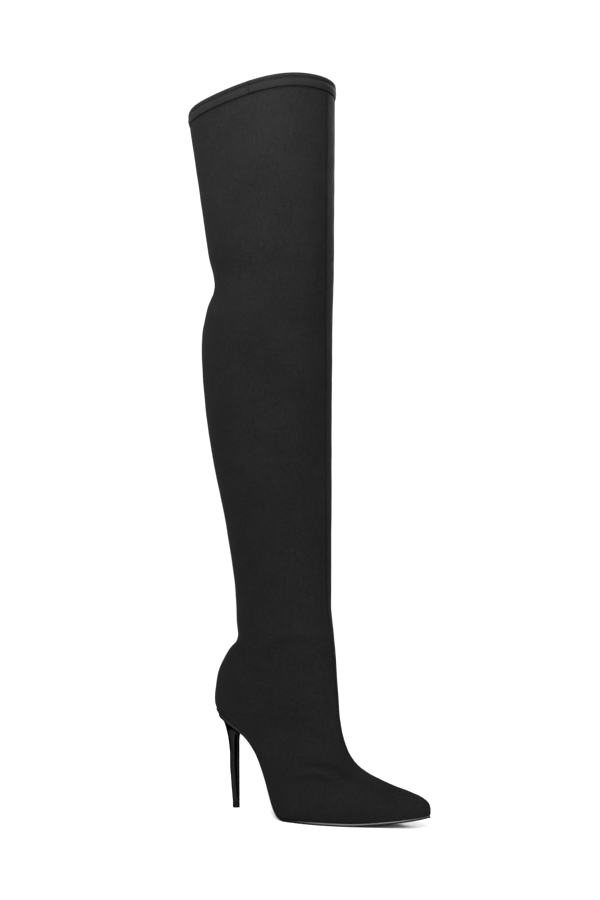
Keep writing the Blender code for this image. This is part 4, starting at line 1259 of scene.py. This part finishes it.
def eye_outline():
    """The eye in the pull: a rounded rectangle below the bar."""
    centre = (0, PULL_HALF + EYE_LENGTH / 2)
    reach = np.array([EYE_HALF - EYE_CORNER, EYE_LENGTH / 2 - EYE_CORNER])
    return np.array([centre + reach * (sx, sy) + EYE_CORNER * np.array([cos(a), sin(a)])
                     for sx, sy, start in ((1, 1, 0), (-1, 1, pi / 2), (-1, -1, pi), (1, -1, 1.5 * pi))
                     for a in np.linspace(start, start + pi / 2, 5)])


def zip_pull(material):
    """The tab that hangs from the bridge by the bar above its eye, its edges eased."""
    middle, across, up, out = slider_axes()
    hinge = middle + up * HINGE_UP + out * HINGE_OUT
    down = np.array((0, 0, -1.0))
    facing = np.cross(across, down)
    side = smooth_line([(w * MM, d * PULL_LENGTH - PULL_HALF) for d, w in PULL_OUTLINE], 70)
    outline = np.vstack([side, (side * (-1, 1))[-2::-1]])
    sheet = Sheet()
    edges = []
    for loop, inward in ((outline, 1), (eye_outline(), -1)):
        loops = []
        for amount, depth in PULL_EDGE:
            flat = inset(loop, inward * amount * MM)
            loops.append(hinge + flat[:, :1] * across + flat[:, 1:] * down + facing * depth * MM)
        verts = sheet.add(np.array(loops), closed=True)
        edges.append((verts[0], verts[-1]))
    for outer, inner in zip(*edges):
        rim = sheet.edges_round(outer) + sheet.edges_round(inner)
        bmesh.ops.triangle_fill(sheet.bm, use_beauty=True, edges=rim)
    mesh = sheet.mesh("pull_tab", recalculate=True)
    riding = {"body": "zip_pull", "replaces": ["zip_pull"], "slot": "zip metal"}
    return finished("pull_tab", mesh, material, sharp=METAL_SHARP, **riding)


# ---------------------------------------------------------------- finishes

class Value:
    """A number on a shader's socket, so that maths on it is written as maths."""

    def __init__(self, paint, socket):
        self.paint, self.socket = paint, socket

    def __add__(self, other):
        return self.paint.math("ADD", self, other)

    def __radd__(self, other):
        return self.paint.math("ADD", other, self)

    def __sub__(self, other):
        return self.paint.math("SUBTRACT", self, other)

    def __rsub__(self, other):
        return self.paint.math("SUBTRACT", other, self)

    def __mul__(self, other):
        return self.paint.math("MULTIPLY", self, other)

    def __rmul__(self, other):
        return self.paint.math("MULTIPLY", other, self)

    def __truediv__(self, other):
        return self.paint.math("DIVIDE", self, other)

    def wave(self, length):
        """A sine along the value, with waves of that length."""
        return self.paint.math("SINE", self * (2 * pi / length))

    def clamped(self):
        return self.paint.math("ADD", self, 0.0, clamp=True)


class Paint(Tree):
    """A material's tree, with its Principled shader."""

    def __init__(self, name, **constants):
        self.material = bpy.data.materials.new(name)
        self.material.use_nodes = True
        super().__init__(self.material.node_tree)
        self.shader = self.tree.nodes["Principled BSDF"]
        for key, value in constants.items():
            self.shader.inputs[key.replace("_", " ")].default_value = value
        self.place = self.node("ShaderNodeTexCoord").outputs["Object"]

    def feed(self, socket, value):
        super().feed(socket, value.socket if isinstance(value, Value) else value)

    def math(self, operation, *values, clamp=False):
        """The result of a sum on numbers or values."""
        made = self.node("ShaderNodeMath", {"operation": operation, "use_clamp": clamp})
        for socket, value in zip(made.inputs, values):
            self.feed(socket, value)
        return Value(self, made.outputs[0])

    def noise(self, size, detail=2.0, where=None):
        """Noise between 0 and 1 with features of about that size in metres."""
        made = self.node("ShaderNodeTexNoise", Vector=where or self.place, Scale=1 / size, Detail=detail)
        return Value(self, made.outputs[0])

    def stretched(self, x, y, z):
        """The object's own place, scaled by different amounts along its axes."""
        made = self.node("ShaderNodeVectorMath", {"operation": "MULTIPLY"})
        self.feed(made.inputs[0], self.place)
        made.inputs[1].default_value = (x, y, z)
        return made.outputs[0]

    def mapped(self, name="skin"):
        """The two values of the piece's own map, in metres."""
        uv = self.node("ShaderNodeUVMap", {"uv_map": name}).outputs[0]
        split = self.node("ShaderNodeSeparateXYZ", Vector=uv)
        return Value(self, split.outputs[0]), Value(self, split.outputs[1])

    def attribute(self, name):
        """A value that the mesh holds at its points."""
        made = self.node("ShaderNodeAttribute", {"attribute_name": name})
        return Value(self, made.outputs["Fac"])

    def mixed(self, share, one, two):
        """From one colour to the other."""
        made = self.node("ShaderNodeMix", {"data_type": "RGBA"})
        self.feed(made.inputs[0], share)
        self.feed(made.inputs[6], (*one, 1) if isinstance(one, tuple) else one)
        self.feed(made.inputs[7], (*two, 1) if isinstance(two, tuple) else two)
        return made.outputs[2]

    def bumped(self, height, distance, strength=1.0):
        """Fine relief of that height over the whole surface."""
        made = self.node("ShaderNodeBump", Height=height, Distance=distance, Strength=strength)
        self.feed(self.shader.inputs["Normal"], made.outputs[0])

    def set(self, **inputs):
        """The finished material, with the shader's sockets fed."""
        for key, value in inputs.items():
            self.feed(self.shader.inputs[key.replace("_", " ")], value)
        return self.material


CLOTH_DARK, CLOTH_LIGHT = (0.0025, 0.0026, 0.0025), (0.0089, 0.0093, 0.0089)
BAND_LIGHT = (0.0108, 0.0113, 0.0108)
EDGE_HIGHLIGHT = (0.125, 0.127, 0.132)           # the highlight painted along the sole's upper edge


def stretch_cloth():
    """Matt black stretch cloth: a close knit under a short nap, with shade painted in its grooves and a
    highlight painted on its ridges.
    """
    p = Paint("stretch cloth, black", Sheen_Weight=0.006, Sheen_Roughness=0.35, Specular_IOR_Level=0.015)
    u, v = p.mapped()
    knit = u.wave(0.85 * MM) * v.wave(1.0 * MM)
    nap = p.noise(1.0 * MM, 3.0)
    broad = p.noise(38 * MM, 3.0)
    flecks = p.noise(2.2 * MM, 3.0, p.stretched(1, 1, 0.8))
    groove = p.attribute("groove")
    mottled = ((nap * 0.5 + flecks * 0.5 - 0.5) * 1.7 + broad * 0.4 + 0.3).clamped()
    # Shade painted in seams, creases and under the band, and a highlight painted on ridges
    tone = mottled * (1 - 0.75 * groove)
    p.bumped(knit * 0.5 + nap * 0.9 + flecks * 0.6, 0.20 * MM, 0.6)
    return p.set(Base_Color=p.mixed(tone.clamped(), CLOTH_DARK, CLOTH_LIGHT), Roughness=0.82 + nap * 0.14)


def band_cloth():
    """The same cloth over elastic, drawn into fine upright ribs, with shade painted in its dip, at its foot
    and in its gathers.
    """
    p = Paint("stretch cloth over elastic", Sheen_Weight=0.01, Sheen_Roughness=0.35, Specular_IOR_Level=0.04)
    u, v = p.mapped()
    ribs = u.wave(1.5 * MM)
    knit = u.wave(0.75 * MM) * v.wave(0.9 * MM)
    nap = p.noise(1.1 * MM, 3.0)
    groove = p.attribute("groove")
    # Shade painted in the dip, at the foot and in the gathers' troughs, a highlight on their crests
    tone = (nap * 0.6 + p.noise(20 * MM) * 0.4) * (1 - 0.8 * groove)
    p.bumped(ribs * 0.5 + knit * 0.5 + nap * 0.8, 0.18 * MM, 0.6)
    return p.set(Base_Color=p.mixed(tone.clamped(), CLOTH_DARK, BAND_LIGHT), Roughness=0.8 + nap * 0.15)


def lining_knit():
    """Thin knitted lining, smoother than the cloth, with fine upright wales."""
    p = Paint("lining, black knit", Sheen_Weight=0.01, Sheen_Roughness=0.4, Specular_IOR_Level=0.1)
    u, v = p.mapped()
    wales = u.wave(1.1 * MM) + 0.4 * v.wave(1.6 * MM)
    cloud = p.noise(25 * MM, 3.0)
    p.bumped(wales, 0.12 * MM, 0.6)
    colour = p.mixed(cloud, (0.010, 0.010, 0.0103), (0.020, 0.020, 0.0205))
    return p.set(Base_Color=colour, Roughness=0.7 + cloud * 0.15)


def thread(name, dark, light):
    """Twisted thread, a touch shinier than the cloth."""
    p = Paint(name, Specular_IOR_Level=0.12)
    twist = p.noise(0.35 * MM, 1.0)
    p.bumped(twist, 0.05 * MM, 0.6)
    return p.set(Base_Color=p.mixed(twist, (dark,) * 3, (light,) * 3), Roughness=0.5 + twist * 0.15)


def sole_rubber():
    """Thin black sole: satin, finely grained, scuffed grey where it treads, with a highlight painted along
    its upper edge.
    """
    p = Paint("sole, satin black", Specular_IOR_Level=0.02)
    grain = p.noise(0.5 * MM, 3.0)
    scuffs = p.noise(9 * MM, 4.0, p.stretched(0.5, 2.0, 1.0))
    worn = ((scuffs - 0.52) * 4.0).clamped()
    p.bumped(grain + scuffs * 0.5, 0.06 * MM, 0.5)
    colour = p.mixed(worn * 0.5, (0.0035, 0.0035, 0.0036), (0.014, 0.014, 0.0142))
    # The highlight painted along the sole's upper edge
    rim = p.attribute("groove") * (0.7 + 0.6 * p.noise(7 * MM, 2.0))
    with_edge_highlight = p.mixed(rim.clamped(), colour, EDGE_HIGHLIGHT)
    return p.set(Base_Color=with_edge_highlight, Roughness=0.5 + grain * 0.08 + worn * 0.15)


def heel_lacquer():
    """Smooth black lacquer with a faint waviness and a few hairline marks."""
    p = Paint("heel lacquer, gloss black", Metallic=1.0, Specular_Tint=(0.02, 0.02, 0.02, 1))
    wave = p.noise(12 * MM, 2.0)
    marks = p.noise(1.5 * MM, 4.0, p.stretched(1, 1, 0.1))
    p.bumped(wave + marks * 0.05, 0.08 * MM, 0.25)
    colour = p.mixed(marks, (0.009, 0.009, 0.0093), (0.014, 0.014, 0.0144))
    return p.set(Base_Color=colour, Roughness=0.14 + marks * 0.08)


def tip_rubber():
    """Hard wearing piece, matt, greyed at its very foot."""
    p = Paint("wearing piece, matt black", Specular_IOR_Level=0.02)
    grain = p.noise(0.4 * MM, 3.0)
    split = p.node("ShaderNodeSeparateXYZ", Vector=p.place)
    low = (1 - Value(p, split.outputs[2]) / (1.2 * MM)).clamped()
    p.bumped(grain, 0.05 * MM, 0.5)
    colour = p.mixed(low * grain, (0.004, 0.004, 0.004), (0.014, 0.014, 0.014))
    return p.set(Base_Color=colour, Roughness=0.5 + grain * 0.2)


def sock_cover():
    """The sock's soft black cover, finely pebbled and a little clouded."""
    p = Paint("sock cover, black", Specular_IOR_Level=0.2)
    pebble = p.noise(0.9 * MM, 3.0)
    cloud = p.noise(18 * MM, 2.0)
    p.bumped(pebble, 0.12 * MM, 0.6)
    colour = p.mixed(cloud, (0.012, 0.012, 0.0123), (0.022, 0.022, 0.0225))
    return p.set(Base_Color=colour, Roughness=0.55 + pebble * 0.2)


def tape_weave():
    """Woven zip tape: a fine diamond weave."""
    p = Paint("zip tape, black", Specular_IOR_Level=0.1)
    u, v = p.mapped()
    weave = (u + v).wave(0.55 * MM) * (u - v).wave(0.55 * MM)
    grey = p.noise(6 * MM)
    p.bumped(weave, 0.1 * MM, 0.7)
    colour = p.mixed(grey, (0.005, 0.005, 0.0053), (0.010, 0.010, 0.0103))
    return p.set(Base_Color=colour, Roughness=0.72 + grey * 0.12)


def coil_nylon():
    """Smooth black nylon coil, rubbed paler in places."""
    p = Paint("zip coil, black", Specular_IOR_Level=0.3)
    rub = p.noise(3 * MM, 3.0)
    p.bumped(p.noise(0.3 * MM), 0.02 * MM, 0.4)
    colour = p.mixed(rub, (0.006, 0.006, 0.0063), (0.014, 0.014, 0.0145))
    return p.set(Base_Color=colour, Roughness=0.30 + rub * 0.15)


def silver_metal():
    """Polished silvery metal, slightly clouded, with fine rubbed lines."""
    p = Paint("zip metal, silvery", Metallic=1.0)
    rub = p.noise(0.6 * MM, 4.0, p.stretched(1, 1, 0.2))
    cloud = p.noise(4 * MM, 2.0)
    p.bumped(rub, 0.01 * MM, 0.3)
    colour = p.mixed(cloud, (0.24, 0.24, 0.245), (0.38, 0.375, 0.37))
    return p.set(Base_Color=colour, Roughness=0.16 + rub * 0.16)


# ---------------------------------------------------------------- stage

SHIN = 0.282                      # the height of the camera, and of the point it looks at


def aimed(name, data, place, aim):
    """A camera or light at a place, turned to a point."""
    made = new_object(name, data)
    made.location = place
    made.rotation_euler = (Vector(aim) - Vector(place)).to_track_quat("-Z", "Y").to_euler()
    return made


def camera():
    """At the height of the shin, on the outer side, with the lens raised rather than tilted."""
    data = bpy.data.cameras.new("camera")
    data.lens = 60.0
    data.sensor_width = 36.0
    data.shift_y = 0.099
    bpy.context.scene.camera = aimed("camera", data, (0.855, -1.265, SHIN), (-0.010, 0.0, SHIN))


def floor():
    """A pale floor, far larger than the view."""
    bpy.ops.mesh.primitive_plane_add(size=60.0, location=(0, 0, -0.0001))
    made = bpy.context.object
    made.name = "floor"
    p = Paint("floor, white", Specular_IOR_Level=0.1)
    colour = p.mixed(p.noise(0.8, 2.0), (0.93, 0.93, 0.93), (0.95, 0.95, 0.95))
    made.data.materials.append(p.set(Base_Color=colour, Roughness=0.9))


Lamp = namedtuple("Lamp", "name place aim width height power spread")

# Soft lights high at both sides of the thigh and over the toe, and strips for the heel's gloss
LAMPS = [
    Lamp("above, outer side", (0.30, -0.85, 1.10), (0, 0, 0.90),       0.60, 0.60, 11.0,  75),
    Lamp("above, inner side", (-0.20, 0.95, 1.10), (0, 0, 0.90),       0.60, 0.60,  5.5,  75),
    Lamp("over the toe",      (0.55, -0.75, 0.62), (0.09, 0, 0.03),    0.35, 0.35,  1.2,  50),
    Lamp("left strip",        (-1.1, -0.75, 0.40), (-0.05, 0, 0.3),    0.04, 1.00,  4.5, 180),
    Lamp("right strip",       (1.3, 0.35, 0.40),   (0.0, 0, 0.3),      0.04, 1.00,  2.5, 180),
]


def studio():
    """A white surround and the lamps."""
    world = bpy.data.worlds.new("white surround")
    world.use_nodes = True
    surround = world.node_tree.nodes["Background"].inputs
    surround["Color"].default_value = (1, 1, 1, 1)
    surround["Strength"].default_value = 1.12
    bpy.context.scene.world = world
    bpy.context.scene.view_settings.view_transform = "Standard"
    for lamp in LAMPS:
        data = bpy.data.lights.new(lamp.name, "AREA")
        data.shape = "RECTANGLE"
        data.size, data.size_y = lamp.width, lamp.height
        data.energy = lamp.power
        data.spread = radians(lamp.spread)
        aimed(lamp.name, data, lamp.place, lamp.aim)


# ---------------------------------------------------------------- the boot

def main():
    """The camera, every piece in its finish, the floor and the lights."""
    camera()
    cloth, band = stretch_cloth(), band_cloth()
    yarn, dark_yarn = thread("thread, black", 0.007, 0.016), thread("band thread, black", 0.003, 0.008)
    metal = silver_metal()
    laid = laid_cloth()
    upper_cloth(laid, cloth)
    lining(lining_knit())
    collar_band(band)
    outsole(sole_rubber())
    insole(sock_cover())
    heel(heel_lacquer())
    heel_tip(tip_rubber())
    zip_tape(tape_weave())
    zip_teeth(coil_nylon())
    zip_stitching(laid, yarn)
    band_stitching(dark_yarn)
    zip_slider(metal)
    zip_pull(metal)
    floor()
    studio()


main()
